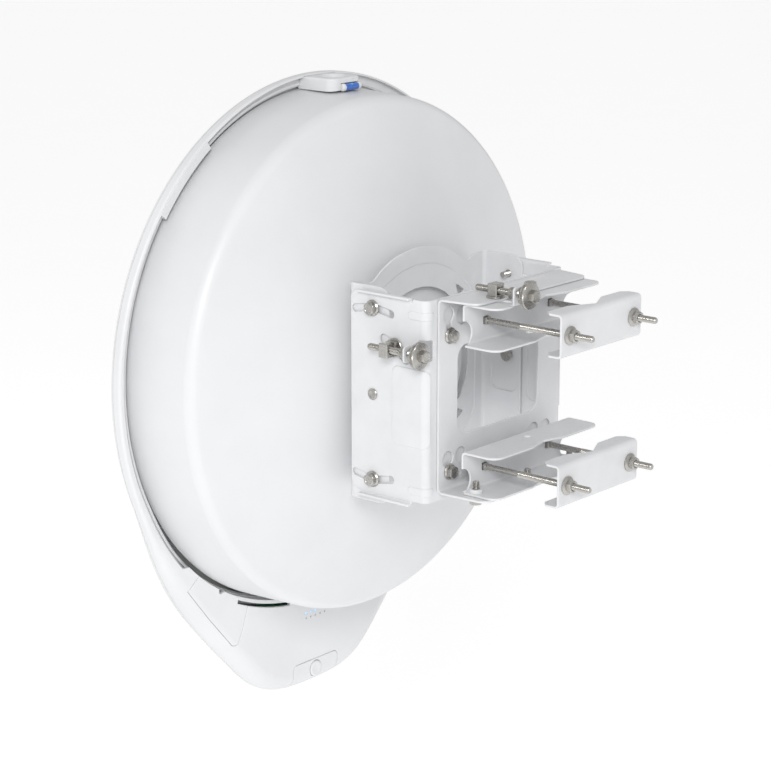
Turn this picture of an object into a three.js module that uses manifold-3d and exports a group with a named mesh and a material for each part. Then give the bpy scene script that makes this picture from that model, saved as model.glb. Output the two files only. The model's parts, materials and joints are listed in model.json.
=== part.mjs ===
// Outdoor wireless bridge: a dish antenna with its electronics in a chin, on a two-clamp mast bracket
// with fine adjusters for azimuth and elevation.
// Millimetres, +Z up. The origin is on the mast axis, midway between the two clamps.
// The dish faces -Y, the mast stands at the origin, and +X is the side with the elevation adjuster.

import * as THREE from 'three';
import { mergeVertices } from 'three/addons/utils/BufferGeometryUtils.js';
import Module from 'manifold-3d';

const wasm = await Module();
wasm.setup();

// ---------------------------------------------------------------- driving dimensions

const sheet = 2;                 // thickness of all the folded steel
const gap = 0.3;                 // clearance between pieces that rest on each other
const M6 = { thread: 2.95, shank: 2.7, hole: 3.4, acrossFlats: 10, flange: 7.1 };

const mastRadius = 24.15;        // 48.3 mm mast
const clampLevel = 64.5;         // height of each clamp above and below the origin
const boltSpread = 45.4;         // mast bolts, left and right of the mast
const channelHalf = 18.75;       // half the height of a clamp channel

const saddle = { halfWidth: 75, web: -54, tip: -19, notchHalf: 22 };
const bar = { halfWidth: 57.1, web: 33.9, tip: 15, notchHalf: 24, chamfer: 6 };
const mastBolt = { tip: 57.7, threadStart: -18, neckEnd: -51, neck: 6 };

const azimuthY = -42;            // azimuth axis, parallel to Z
const elevation = { y: -137, z: -4.5, slotRadius: 76, travel: 15 };
const azimuthTravel = 10;

const azimuthPlate = { front: -77, rear: -75, halfWidth: 82.5, top: 85.6, bottom: -85.5 };
const elevationPlate = { outer: 96.2, front: -162, rear: -77.3, top: 85, bottom: -92.5 };
const dishPlate = { front: -167.3, rear: -164.8, outer: 93.8, tip: -121, top: 90, bottom: -102.5 };

const screw = { offset: 23.5, end: 44, knob: 11.75 };
const elevationTab = { x: 107, y: -88, z: 40.8 };
const azimuthTab = { x: 46, y: -20, z: 92 };

const drum = { z: -1.5, rim: 237, mouth: 240, rearY: -225, frontY: -293, apexY: -170.5, wall: 3 };
const bezel = { z: -4.5, outer: 256.2, rearY: -294, seamY: -309, wall: 3 };
const opening = { z: -1, edge: 250.8, floor: 242.4, floorY: -305.5 };
const chin = { joinAngle: -21.2, cornerX: 93, cornerZ: -306, tipZ: -342.5, slope: [0.689, 0.725] };
const handles = { ring: 92.9, side: 91, corner: 38.6, tip: 50 };   // how far the outline's curves reach
const radome = { front: -329, middleZ: -12, round: 20 };
const pointer = { half: 20.5, front: -290.9, rear: -250, bottom: 230, top: 249.8 };   // alignment module
const vial = { y: -250, z: 241.2 };

// Below the drum the shell bends forward into a thicker chin: depths at the ring and at the chin.
const bend = { start: -100, end: -250, rear: [-283.3, -294], seam: [-291.3, -311], front: [-296, -329] };
const plateBolt = { x: 30, z: 32 };

// ---------------------------------------------------------------- solids and placing

const toSolid = (geometry) => {
  const bare = geometry.clone();
  bare.deleteAttribute('normal');
  bare.deleteAttribute('uv');
  const merged = mergeVertices(bare, 1e-4);
  const place = merged.attributes.position;
  const corner = [0, 1, 2].map(() => new THREE.Vector3());
  const triangles = [];
  let volume = 0;
  for (let i = 0; i < merged.index.count; i += 3) {
    const ids = [0, 1, 2].map((k) => merged.index.getX(i + k));
    if (new Set(ids).size < 3) continue;
    ids.forEach((id, k) => corner[k].fromBufferAttribute(place, id));
    volume += corner[0].dot(corner[1].clone().cross(corner[2]));
    triangles.push(ids);
  }
  const facing = volume < 0 ? triangles.map(([a, b, c]) => [a, c, b]) : triangles;
  return new wasm.Manifold(new wasm.Mesh({
    numProp: 3,
    vertProperties: new Float32Array(place.array),
    triVerts: new Uint32Array(facing.flat())
  }));
};

const toGeometry = (body) => {
  const mesh = body.getMesh();
  const geometry = new THREE.BufferGeometry();
  geometry.setAttribute('position', new THREE.BufferAttribute(mesh.vertProperties, 3));
  geometry.setIndex(new THREE.BufferAttribute(mesh.triVerts, 1));
  const faceted = geometry.toNonIndexed();
  faceted.computeVertexNormals();
  return faceted;
};

const join = (...bodies) => bodies.reduce((whole, body) => whole.add(body));
const cut = (body, ...tools) => tools.reduce((rest, tool) => rest.subtract(tool), body);

// A closed outline from corners [u, v, roundness]; roundness 0 leaves the corner sharp.
const outline = (corners) => {
  const shape = new THREE.Shape();
  corners.forEach(([u, v, round = 0], i) => {
    const corner = new THREE.Vector2(u, v);
    const before = corners.at(i - 1);
    const after = corners[(i + 1) % corners.length];
    const towards = (other) => new THREE.Vector2(other[0], other[1]).sub(corner).setLength(round).add(corner);
    const start = round ? towards(before) : corner;
    if (i === 0) shape.moveTo(start.x, start.y);
    else shape.lineTo(start.x, start.y);
    if (!round) return;
    const end = towards(after);
    shape.quadraticCurveTo(corner.x, corner.y, end.x, end.y);
  });
  shape.closePath();
  return shape;
};

const rectangle = (u0, v0, u1, v1, round = 0) => outline([
  [u0, v0, round], [u1, v0, round], [u1, v1, round], [u0, v1, round]
]);

const disc = (u, v, radius) => new THREE.Shape().absarc(u, v, radius, 0, 2 * Math.PI);

const hexagon = (u, v, acrossFlats) => outline([0, 1, 2, 3, 4, 5].map((k) => {
  const angle = (k * Math.PI) / 3;
  const reach = acrossFlats / Math.sqrt(3);
  return [u + reach * Math.cos(angle), v + reach * Math.sin(angle)];
}));

// A slot of a given width along an arc about (u, v), with round ends; angles in degrees.
const arcSlot = (u, v, radius, fromDegrees, toDegrees, width) => {
  const from = THREE.MathUtils.degToRad(fromDegrees);
  const to = THREE.MathUtils.degToRad(toDegrees);
  const half = width / 2;
  const end = (angle) => [u + radius * Math.cos(angle), v + radius * Math.sin(angle)];
  const shape = new THREE.Shape();
  shape.absarc(u, v, radius + half, from, to);
  shape.absarc(...end(to), half, to, to + Math.PI);
  shape.absarc(u, v, radius - half, to, from, true);
  shape.absarc(...end(from), half, from + Math.PI, from + 2 * Math.PI);
  return shape;
};

// A prism of an outline along one axis. The outline's two directions are the other two axes in X, Y, Z order.
const prism = (shape, axis, from, to, curveSegments = 4) => {
  const geometry = new THREE.ExtrudeGeometry(shape, { depth: to - from, bevelEnabled: false, curveSegments });
  if (axis === 'z') geometry.translate(0, 0, from);
  if (axis === 'y') geometry.rotateX(Math.PI / 2).translate(0, to, 0);
  if (axis === 'x') {
    const turn = new THREE.Matrix4().makeBasis(
      new THREE.Vector3(0, 1, 0), new THREE.Vector3(0, 0, 1), new THREE.Vector3(1, 0, 0));
    geometry.applyMatrix4(turn).translate(from, 0, 0);
  }
  return toSolid(geometry);
};

const block = (low, high) => prism(rectangle(low[0], low[1], high[0], high[1]), 'z', low[2], high[2]);

// A round body from [radius, distance] points, turned about local Y.
const turned = (profile, segments = 14) => toSolid(
  new THREE.LatheGeometry(profile.map(([radius, along]) => new THREE.Vector2(radius, along)), segments));

const rod = (radius, from, to, segments = 10) => turned([[0, from], [radius, from], [radius, to], [0, to]], segments);

const bridge = new THREE.Group();
bridge.name = 'outdoor_wireless_bridge';

const colours = {
  coat: { color: 0xe9eaec, roughness: 0.42, metalness: 0 },
  plastic: { color: 0xf1f2f3, roughness: 0.5, metalness: 0 },
  steel: { color: 0xc9c5bd, roughness: 0.28, metalness: 1 },
  reflector: { color: 0xd3d6da, roughness: 0.35, metalness: 1 },
  board: { color: 0x1f5c3a, roughness: 0.6, metalness: 0 },
  liquid: { color: 0x1f5fc4, roughness: 0.1, metalness: 0 },
  dark: { color: 0x55585c, roughness: 0.6, metalness: 0 }
};

// Adds one named piece. Its local Y axis points along "facing", which is +y, -y, +x, -x, +z or -z.
const turns = {
  '+y': [0, 0, 0], '-y': [0, 0, Math.PI], '+x': [0, 0, -Math.PI / 2],
  '-x': [0, 0, Math.PI / 2], '+z': [Math.PI / 2, 0, 0], '-z': [-Math.PI / 2, 0, 0]
};
const add = (name, finish, body, position = [0, 0, 0], facing = '+y') => {
  const mesh = new THREE.Mesh(toGeometry(body), new THREE.MeshStandardMaterial(colours[finish]));
  mesh.name = name;
  mesh.position.set(...position);
  mesh.rotation.set(...turns[facing]);
  bridge.add(mesh);
};

// ---------------------------------------------------------------- fasteners, along local Y

// Flanged hex bolt: the head sits above y = 0 and the shank hangs below.
const hexBolt = (length, headHeight = 6.4) => join(
  turned([[0, gap], [M6.flange, gap], [M6.flange, 1.6], [5.6, 2.6], [0, 2.6]]),
  prism(hexagon(0, 0, M6.acrossFlats), 'y', 2, headHeight),
  rod(M6.thread, -length, 1));

// Carriage bolt: domed head, square neck, plain shank, then a thicker rolled thread.
const carriageBolt = () => join(
  turned([[0, -59.9], [4, -59.6], [7, -57.4], [7, -56.3], [0, -56.3]]),
  prism(rectangle(-mastBolt.neck / 2, -mastBolt.neck / 2, mastBolt.neck / 2, mastBolt.neck / 2),
    'y', -57, mastBolt.neckEnd),
  rod(M6.shank, -53, mastBolt.threadStart + 1),
  rod(M6.thread, mastBolt.threadStart, mastBolt.tip));

const flangeNut = () => cut(
  join(turned([[0, gap], [8, gap], [8, 1.6], [5.8, 2.8], [0, 2.8]]),
    prism(hexagon(0, 0, M6.acrossFlats), 'y', 2, 7.4)),
  rod(M6.thread + gap, -1, 9));

// Adjusting screw along local Y, with its thread towards -Y and y = 0 at the middle of its tab.
const adjustingScrew = () => join(
  rod(M6.thread, -screw.end, 8),
  rod(6.4, 6.9, 9.5),
  rod(screw.knob, 9, 14, 24),
  prism(hexagon(0, 0, M6.acrossFlats), 'y', 13, 20));

const ringOf = (profile, bore) => cut(turned(profile), rod(bore, -20, 20));
const screwBushing = () => ringOf([[0, -7.5], [4.6, -7.5], [5, -6.9], [5, -3], [3.9, -2.5], [0, -2.5]], 3.3);
const springWashers = () => ringOf([[0, 2.5], [4, 2.5], [6.6, 3.6], [6.6, 5.4], [5.4, 6.5], [0, 6.5]], 3.3);

// ---------------------------------------------------------------- mast clamps

// U-section between a web and two flange tips, in Y and Z.
const channelSection = (web, tip, level) => {
  const inner = web + Math.sign(tip - web) * sheet;
  const low = level - channelHalf;
  const high = level + channelHalf;
  return outline([
    [web, low, 4], [tip, low], [tip, low + sheet], [inner, low + sheet, 2],
    [inner, high - sheet, 2], [tip, high - sheet], [tip, high], [web, high, 4]
  ]);
};

// Where a V notch of a given half-width and opening must have its bottom to seat the mast.
const notchBottom = (tip, notchHalf) => {
  let depth = Math.abs(tip);
  for (let step = 0; step < 20; step += 1) {
    depth = mastRadius / Math.cos(Math.atan2(depth - Math.abs(tip), notchHalf));
  }
  return depth;
};

const buildSaddle = (level) => {
  const { halfWidth, web, tip, notchHalf } = saddle;
  const front = web - sheet;
  const channel = prism(channelSection(front, tip, level), 'x', -halfWidth, halfWidth);
  const plan = outline([
    [-halfWidth, front - 1], [halfWidth, front - 1], [halfWidth, tip, 10], [notchHalf, tip, 2],
    [0, -notchBottom(tip, notchHalf), 2], [-notchHalf, tip, 2], [-halfWidth, tip, 10]
  ]);
  const trimmed = channel.intersect(prism(plan, 'z', level - 30, level + 30));
  const holes = [-1, 1].flatMap((side) => [
    prism(disc(side * halfWidth, level - 7.4, 11), 'y', front - 1, web + 1),
    prism(rectangle(side * boltSpread - 3.4, level - 3.4, side * boltSpread + 3.4, level + 3.4),
      'y', front - 1, web + 1)
  ]);
  const pivotHole = prism(disc(0, azimuthY, M6.hole), 'z', level - 30, level + 30);
  return cut(trimmed, ...holes, pivotHole);
};

// The upper saddle also carries the upright tab of the azimuth adjuster.
const buildUpperSaddle = () => {
  const { x, y, z } = azimuthTab;
  const flangeTop = clampLevel + channelHalf;
  const tab = prism(outline([
    [x - 6.5, flangeTop - sheet], [x + 6.5, flangeTop - sheet],
    [x + 6.5, z + 6, 4], [x - 6.5, z + 6, 4]
  ]), 'y', y - 1, y + 1);
  const hole = prism(disc(x, z, 4), 'y', y - 2, y + 2);
  return join(buildSaddle(clampLevel), cut(tab, hole));
};

// The lower saddle has two threaded bosses for the azimuth lock bolts.
const lockPlace = (side) => [side * 67, azimuthY - 4];
const buildLowerSaddle = () => {
  const floor = -clampLevel - channelHalf;
  const bosses = [-1, 1].map((side) => prism(disc(...lockPlace(side), 6), 'z', floor + 1, floor + 5));
  const bores = [-1, 1].map((side) => prism(disc(...lockPlace(side), M6.hole), 'z', floor - 1, floor + 9));
  return cut(join(buildSaddle(-clampLevel), ...bosses), ...bores);
};

const buildBar = (level) => {
  const { halfWidth, web, tip, notchHalf, chamfer } = bar;
  const channel = prism(channelSection(web, tip, level), 'x', -halfWidth, halfWidth);
  const plan = outline([
    [-halfWidth, web + 1], [-halfWidth, tip + chamfer], [-halfWidth + chamfer, tip], [-notchHalf, tip, 2],
    [0, notchBottom(tip, notchHalf), 2], [notchHalf, tip, 2], [halfWidth - chamfer, tip],
    [halfWidth, tip + chamfer], [halfWidth, web + 1]
  ]);
  const holes = [-1, 1].map((side) => prism(disc(side * boltSpread, level, M6.hole), 'y', tip, web + 1));
  return cut(channel.intersect(prism(plan, 'z', level - 30, level + 30)), ...holes);
};

// ---------------------------------------------------------------- azimuth and elevation brackets

// Each bracket bolt hangs in a keyhole: a round hole that lets its head through, above a narrow seat.
const bracketBolts = [[1, 51.8], [-1, 51.8], [1, -68.2], [-1, -68.2]].map(([side, z]) => ({ x: side * 68, z, side }));
const keyhole = ({ x, z, side }) => {
  const rise = z > 0 ? 18 : 11;
  return [
    prism(disc(x + side * 1.5, z + rise, 7), 'y', -80, -70),
    prism(arcSlot(x - 400, z, 400, 0, (rise / 400) * (180 / Math.PI), 6.8), 'y', -80, -70)
  ];
};

const buildAzimuthBracket = () => {
  const { front, rear, halfWidth, top, bottom } = azimuthPlate;
  const upperTip = -37;
  const lowerTip = -25;
  const section = outline([
    [front, bottom, 5], [lowerTip, bottom], [lowerTip, bottom + sheet], [rear, bottom + sheet, 3],
    [rear, top - sheet, 3], [upperTip, top - sheet], [upperTip, top], [front, top, 5]
  ]);
  const planTo = (tip, width) => outline([
    [-halfWidth, front - 1], [halfWidth, front - 1], [halfWidth, rear + 4, 2], [width, tip, 10],
    [-width, tip, 10], [-halfWidth, rear + 4, 2]
  ]);
  const trimmed = prism(section, 'x', -halfWidth, halfWidth).intersect(join(
    prism(planTo(upperTip, 77), 'z', 0, top + 1), prism(planTo(lowerTip, 80), 'z', bottom - 1, 0)));
  const lockSlots = [0, 180].map((turn) => {
    const middle = turn === 0 ? -3.4 : 183.4;
    return prism(arcSlot(0, azimuthY, 67.1, middle - azimuthTravel, middle + azimuthTravel, 6.8),
      'z', bottom - 1, bottom + sheet + 1);
  });
  const sideOpenings = [[51, 66.6, 8], [52, -56.6, 7]].flatMap(([x, z, radius]) => [-1, 1].map(
    (side) => prism(disc(side * x, z, radius), 'y', front - 1, rear + 1)));
  return cut(trimmed,
    prism(rectangle(-57, -38.5, 57, 40.5, 17), 'y', front - 1, rear + 1),
    prism(disc(0, azimuthY, M6.hole), 'z', bottom - 1, top + 1),
    prism(disc(azimuthTab.x, azimuthTab.y - screw.offset, 4.3), 'z', top - 5, top + 1),
    ...bracketBolts.flatMap(keyhole), ...lockSlots, ...sideOpenings);
};

const buildElevationBracket = () => {
  const { outer, front, rear, top, bottom } = elevationPlate;
  const inner = outer - sheet;
  const plan = outline([
    [-outer, front], [-outer, rear, 7], [outer, rear, 7], [outer, front], [inner, front],
    [inner, rear - sheet, 5], [-inner, rear - sheet, 5], [-inner, front]
  ]);
  const side = outline([[front, bottom, 12], [rear + 1, bottom], [rear + 1, top], [front, top, 12]]);
  const folded = prism(plan, 'z', bottom, top).intersect(prism(side, 'x', -outer - 1, outer + 1));
  const lips = [-1, 1].flatMap((hand) => {
    const [near, far] = hand > 0 ? [inner, outer + 4.8] : [-outer - 4.8, -inner];
    return [
      block([near, -151, top - 1], [far, -94, top + 1.4]),
      block([near, -151, bottom - 4], [far, -94, bottom - 2]),
      block([hand > 0 ? inner : -outer, -151, bottom - 4], [hand > 0 ? outer : -inner, -94, bottom + 1])
    ];
  });
  const { y, z, slotRadius, travel } = elevation;
  const arcs = [90, 270].map((middle) => prism(
    arcSlot(y, z, slotRadius, middle - travel - 0.6, middle + travel + 0.6, 6.8), 'x', -120, 120));
  const trunnion = { y: elevationTab.y - screw.offset - y, z: elevationTab.z - z };
  const trunnionAngle = THREE.MathUtils.radToDeg(Math.atan2(trunnion.z, trunnion.y));
  const trunnionReach = Math.hypot(trunnion.z, trunnion.y);
  const tab = prism(rectangle(inner + 0.5, elevationTab.z - 7, elevationTab.x + 7, elevationTab.z + 7, 3),
    'y', elevationTab.y - 1, elevationTab.y + 1);
  return cut(join(cut(join(folded, ...lips),
    block([inner - 8, elevationTab.y + 1, 33], [outer + 1, rear + 1, 51])), tab),
  prism(rectangle(-64, -46, 64, 48, 14), 'y', rear - 5, rear + 1),
  prism(disc(y, z, 4.3), 'x', -120, 120),
  prism(disc(elevationTab.x, elevationTab.z, 4), 'y', elevationTab.y - 2, elevationTab.y + 2),
  prism(arcSlot(y, z, trunnionReach, trunnionAngle - travel - 0.6, trunnionAngle + travel + 0.6, 9), 'x', 90, 97),
  ...arcs, ...bracketBolts.map((bolt) => prism(disc(bolt.x, bolt.z, M6.hole), 'y', rear - 5, rear + 1)));
};

// ---------------------------------------------------------------- dish bracket

const plateTop = (middleZ) => {
  const half = [[0, 111], [30, 107], [50, 98.5], [61, 91], [68, 89.5], [76, 92], [90, 94.5]];
  const points = [...half.slice(1, -1).reverse().map(([x, z]) => [-x, z]), ...half];
  return points.map(([x, z]) => new THREE.Vector2(x, middleZ + z));
};

const buildDishBracket = () => {
  const { front, rear, outer, tip, top, bottom } = dishPlate;
  const inner = outer - sheet;
  const plan = outline([
    [-outer, tip], [-outer, front, 5], [outer, front, 5], [outer, tip], [inner, tip],
    [inner, rear, 3], [-inner, rear, 3], [-inner, tip]
  ]);
  const side = outline([[front - 1, bottom], [tip, bottom, 12], [tip, top, 12], [front - 1, top]]);
  const cradle = prism(plan, 'z', bottom, top).intersect(prism(side, 'x', -outer - 1, outer + 1));
  const crown = new THREE.Shape();
  crown.moveTo(-90, 0);
  crown.lineTo(-90, elevation.z + 94.5);
  crown.splineThru(plateTop(elevation.z));
  crown.lineTo(90, 0);
  crown.closePath();
  const { y, z, slotRadius } = elevation;
  const boltHoles = [90, 270].map((angle) => {
    const turn = THREE.MathUtils.degToRad(angle);
    return prism(disc(y + slotRadius * Math.cos(turn), z + slotRadius * Math.sin(turn), M6.hole), 'x', -120, 120);
  });
  const plateHoles = [-1, 1].flatMap((across) => [-1, 1].map((up) => prism(
    disc(across * plateBolt.x, z + up * plateBolt.z, M6.hole), 'y', front - 1, rear + 1)));
  const window = (radius, middle, half, width) => prism(
    arcSlot(0, z, radius, middle - half, middle + half, width), 'y', front - 1, rear + 1);
  const kidneys = [90, 270].map((middle) => window(62, middle, 40, 24));
  const sideArcs = [0, 180].map((middle) => window(66, middle, 32, 9));
  const nut = { y: elevationTab.y - screw.offset, z: elevationTab.z };
  const ear = prism(outline([
    [tip - 2, nut.z - 13], [tip, nut.z - 13], [nut.y + 7, nut.z - 9, 5], [nut.y + 7, nut.z + 9, 5],
    [tip, nut.z + 13], [tip - 2, nut.z + 13]
  ]), 'x', inner, outer);
  return cut(join(cradle, ear, prism(crown, 'y', front, rear, 3)),
    prism(disc(y, z, 4.3), 'x', -120, 120),
    prism(disc(nut.y, nut.z, 4.4), 'x', 90, 97),
    ...boltHoles, ...plateHoles, ...kidneys, ...sideArcs);
};

// ---------------------------------------------------------------- dish

const roundSegments = 44;
const aboutDishAxis = (profile, z, segments) => turned(profile, segments).translate(0, 0, z);

const buildDrum = () => {
  const { rim, mouth, rearY, frontY, apexY, wall, z } = drum;
  const outside = [[0, apexY], [60, -173.6], [118, -183], [226, -215], [234, -219], [rim, rearY - 2]];
  const inside = [[rim - wall, rearY - 4], [224, -219.5], [118, -186.3], [60, -176.9], [0, apexY - wall]];
  const shell = aboutDishAxis([...outside, [mouth, frontY], [mouth - wall, frontY], ...inside], z, roundSegments);
  const places = [-1, 1].flatMap((across) => [-1, 1].map((up) => [across * plateBolt.x, elevation.z + up * plateBolt.z]));
  const bosses = places.map(([x, level]) => prism(disc(x, level, 9), 'y', -176, dishPlate.front - gap));
  const bores = places.map(([x, level]) => prism(disc(x, level, M6.hole), 'y', -190, -160));
  return cut(join(shell, ...bosses), ...bores);
};

// Teardrop outline of the bezel, the radome and the chin, moved inwards by "inset".
const teardrop = (inset = 0) => {
  const { z, outer } = bezel;
  const angle = THREE.MathUtils.degToRad(chin.joinAngle);
  const radius = outer - inset;
  const start = [radius * Math.cos(angle), z + radius * Math.sin(angle)];
  const down = [Math.sin(angle), -Math.cos(angle)];
  const corner = [chin.cornerX - inset * 0.72, chin.cornerZ + inset * 0.69];
  const { slope } = chin;
  const tip = chin.tipZ + inset;
  const shape = new THREE.Shape();
  shape.absarc(0, z, radius, angle, Math.PI - angle);
  const ringHandle = start.map((value, i) => value + down[i] * handles.ring);
  const sideHandle = [corner[0] + slope[0] * handles.side, corner[1] + slope[1] * handles.side];
  const cornerHandle = [corner[0] - slope[0] * handles.corner, corner[1] - slope[1] * handles.corner];
  const mirrored = ([u, v]) => [-u, v];
  shape.bezierCurveTo(...mirrored(ringHandle), ...mirrored(sideHandle), ...mirrored(corner));
  shape.bezierCurveTo(...mirrored(cornerHandle), -handles.tip, tip, 0, tip);
  shape.bezierCurveTo(handles.tip, tip, ...cornerHandle, ...corner);
  shape.bezierCurveTo(...sideHandle, ...ringHandle, ...start);
  return shape;
};

const bezelSegments = 10;
const teardropPrism = (inset, from, to) => prism(teardrop(inset), 'y', from, to, bezelSegments);

const bentDepth = (depths, z) => {
  const share = THREE.MathUtils.smoothstep(-z, -bend.start, -bend.end);
  return THREE.MathUtils.lerp(depths[0], depths[1], share);
};

// Bends a body built between the flat seam and rear planes into the shell's real depths, slab by slab.
const slabLevels = [-400, -250, -225, -200, -175, -150, -125, -100, 400];
const bent = (body) => {
  const slabs = slabLevels.slice(1).map((top, i) => body
    .trimByPlane([0, 0, 1], slabLevels[i])
    .trimByPlane([0, 0, -1], -top));
  return join(...slabs.filter((slab) => !slab.isEmpty()).map((slab) => slab.warp((point) => {
    const rear = bentDepth(bend.rear, point[2]);
    const seam = bentDepth(bend.seam, point[2]);
    point[1] = rear + ((point[1] - bezel.rearY) * (rear - seam)) / (bezel.rearY - bezel.seamY);
  })));
};

// The rear frame before its covers are cut out: a rim, a lip round the drum and the back of the chin.
const buildRearFrame = () => {
  const { rearY, seamY, wall } = bezel;
  const { z, edge, floor, floorY } = opening;
  const round = (radius, from, to) => aboutDishAxis([[0, from], [radius, from], [radius, to], [0, to]], z, roundSegments);
  const shell = cut(teardropPrism(0, seamY, rearY), teardropPrism(wall, seamY - 1, rearY - wall),
    round(edge, seamY - 1, rearY + 1));
  return join(shell, cut(round(edge + 2, seamY, floorY), round(floor, seamY - 1, floorY + 1)));
};

const portHalf = 31;
const portTop = -314.5;
const portOpening = (clearance) => prism(outline([
  [-portHalf - clearance, -350], [portHalf + clearance, -350],
  [portHalf + clearance, portTop + clearance, 6], [-portHalf - clearance, portTop + clearance, 6]
]), 'y', bezel.seamY - 2, bezel.rearY + 2);

// Moves every edge of a polygon outwards by a distance; the corners run anticlockwise.
const grow = (corners, distance) => corners.map(([u, v, round], i) => {
  const edges = [[corners.at(i - 1), [u, v]], [[u, v], corners[(i + 1) % corners.length]]];
  const normals = edges.map(([from, to]) => new THREE.Vector2(to[1] - from[1], from[0] - to[0]).normalize());
  const across = normals[0].clone().add(normals[1]);
  across.multiplyScalar(distance / across.dot(normals[0]));
  return [u + across.x, v + across.y, round];
});

// Triangular cover beside the chin, between the drum and the edge.
const trimPanel = (side, clearance) => {
  const corners = [[91, -228], [101, -258], [109, -274, 5], [140, -238], [172, -200], [154, -184], [122, -205]];
  const grown = grow(corners, clearance).map(([u, v, round]) => [side * u, v, round]);
  return prism(outline(grown), 'y', bezel.rearY - bezel.wall - 1, bezel.rearY + 2);
};

const buttonPlace = [0, -324.5];
const modulePocket = () => block(
  [-pointer.half - 0.4, pointer.front - 3.1, pointer.bottom - 4],
  [pointer.half + 0.4, pointer.front + 8.9, pointer.top + 0.4]);
const buildRearHousing = () => cut(
  bent(cut(buildRearFrame(), portOpening(gap), trimPanel(1, gap), trimPanel(-1, gap))), modulePocket());
const buildPortCover = () => cut(bent(buildRearFrame().intersect(portOpening(0))),
  prism(disc(...buttonPlace, 8.1), 'y', bezel.seamY, bezel.rearY + 1, 8));
const buildTrim = (side) => bent(buildRearFrame().intersect(trimPanel(side, 0)));

// A closed body through rings of points, closed at both ends by a middle point.
const lofted = (rings, firstMiddle, lastMiddle) => {
  const count = rings[0].length;
  const points = [...rings.flat(), firstMiddle, lastMiddle];
  const index = [];
  for (let k = 0; k < count; k += 1) {
    const next = (k + 1) % count;
    for (let row = 0; row < rings.length - 1; row += 1) {
      const here = row * count;
      const there = here + count;
      index.push(here + k, here + next, there + next, here + k, there + next, there + k);
    }
    const last = (rings.length - 1) * count;
    index.push(k, points.length - 2, next);
    index.push(last + k, last + next, points.length - 1);
  }
  const geometry = new THREE.BufferGeometry().setFromPoints(points);
  geometry.setIndex(index);
  return toSolid(geometry);
};

// The radome: a round edge along the seam, then a dome over the dish and the chin.
const buildRadome = () => {
  const middle = new THREE.Vector3(0, radome.front, radome.middleZ);
  const ringAt = (inset) => teardrop(inset).getPoints(bezelSegments).slice(0, -1);
  const layer = (wall) => {
    const [edge, inner] = [ringAt(wall), ringAt(radome.round + wall)];
    const turned90 = [0, 30, 60, 90].map(THREE.MathUtils.degToRad);
    const round = turned90.map((turn) => edge.map((point, i) => {
      const seam = bentDepth(bend.seam, point.y) - gap;
      const front = bentDepth(bend.front, point.y) + wall;
      const share = ((seam - front) * (1 - Math.cos(turn))) / radome.round;
      const place = point.clone().lerp(inner[i], share);
      return new THREE.Vector3(place.x, seam - (seam - front) * Math.sin(turn), place.y);
    }));
    const dome = [0.3, 0.6].map((share) => round.at(-1).map((point) => {
      const place = point.clone().lerp(middle, share);
      place.y = middle.y + wall + (point.y - middle.y - wall) * (1 - share) ** 2;
      return place;
    }));
    return [...round, ...dome];
  };
  const [outside, inside] = [layer(0), layer(bezel.wall)];
  const innerMiddle = new THREE.Vector3(0, radome.front + bezel.wall, radome.middleZ);
  return lofted([...outside.reverse(), ...inside], middle, innerMiddle);
};

const buildReflector = () => {
  const focal = 150;
  const radii = [18, 90, 160, 226];
  const curve = (radius) => -186 - (radius * radius) / (4 * focal);
  const behind = radii.map((radius) => [radius, curve(radius)]);
  const before = radii.slice().reverse().map((radius) => [radius, curve(radius) - 1.6]);
  return turned([...behind, ...before, behind[0]], 36).translate(0, 0, drum.z);
};

const buildFeed = () => ringOf([[0, -290], [16, -290], [16, -283], [9, -262], [9, -196], [15, -196], [15, -183], [0, -183]], 5.5);

const buildAlignmentModule = () => {
  const { half, front, rear, bottom, top } = pointer;
  const body = prism(outline([[-half, front], [half, front], [half, rear, 9], [-half, rear, 9]]), 'z', bottom, top);
  const drumSpace = aboutDishAxis([[0, -300], [240.6, -300], [240.6, -240], [0, -240]], drum.z, roundSegments);
  const recess = prism(disc(0, -268, 12.2), 'z', top - 3.8, top + 1.2, 8);
  const vialSeat = prism(disc(vial.y, vial.z, 4), 'x', -17, 9);
  return cut(body, drumSpace, recess, vialSeat);
};

const cylinderX = (radius, from, to) => prism(disc(0, 0, radius), 'x', from, to, 8);

const buildHeatSink = () => {
  const fins = [-3, -2, -1, 0, 1, 2, 3].map((k) => block([k * 16 - 1.5, -322, -296], [k * 16 + 1.5, -317, -250]));
  return join(block([-52, -318, -296], [52, -315, -250]), ...fins);
};

const buildJack = () => cut(block([-8.2, -308, -327], [8.2, -299.4, -306]),
  block([-6.2, -306.4, -328], [6.2, -301, -312]));

// ---------------------------------------------------------------- assembly

const sides = [['right', 1], ['left', -1]];
const levels = [['upper', 1], ['lower', -1]];

add('saddle_upper', 'coat', buildUpperSaddle());
add('saddle_lower', 'coat', buildLowerSaddle());
for (const [levelName, up] of levels) {
  add(`clamp_bar_${levelName}`, 'coat', buildBar(up * clampLevel));
  for (const [sideName, across] of sides) {
    const place = [across * boltSpread, 0, up * clampLevel];
    add(`mast_bolt_${levelName}_${sideName}`, 'steel', carriageBolt(), place);
    add(`mast_nut_${levelName}_${sideName}`, 'steel', flangeNut(), [place[0], bar.web, place[2]]);
  }
}

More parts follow.
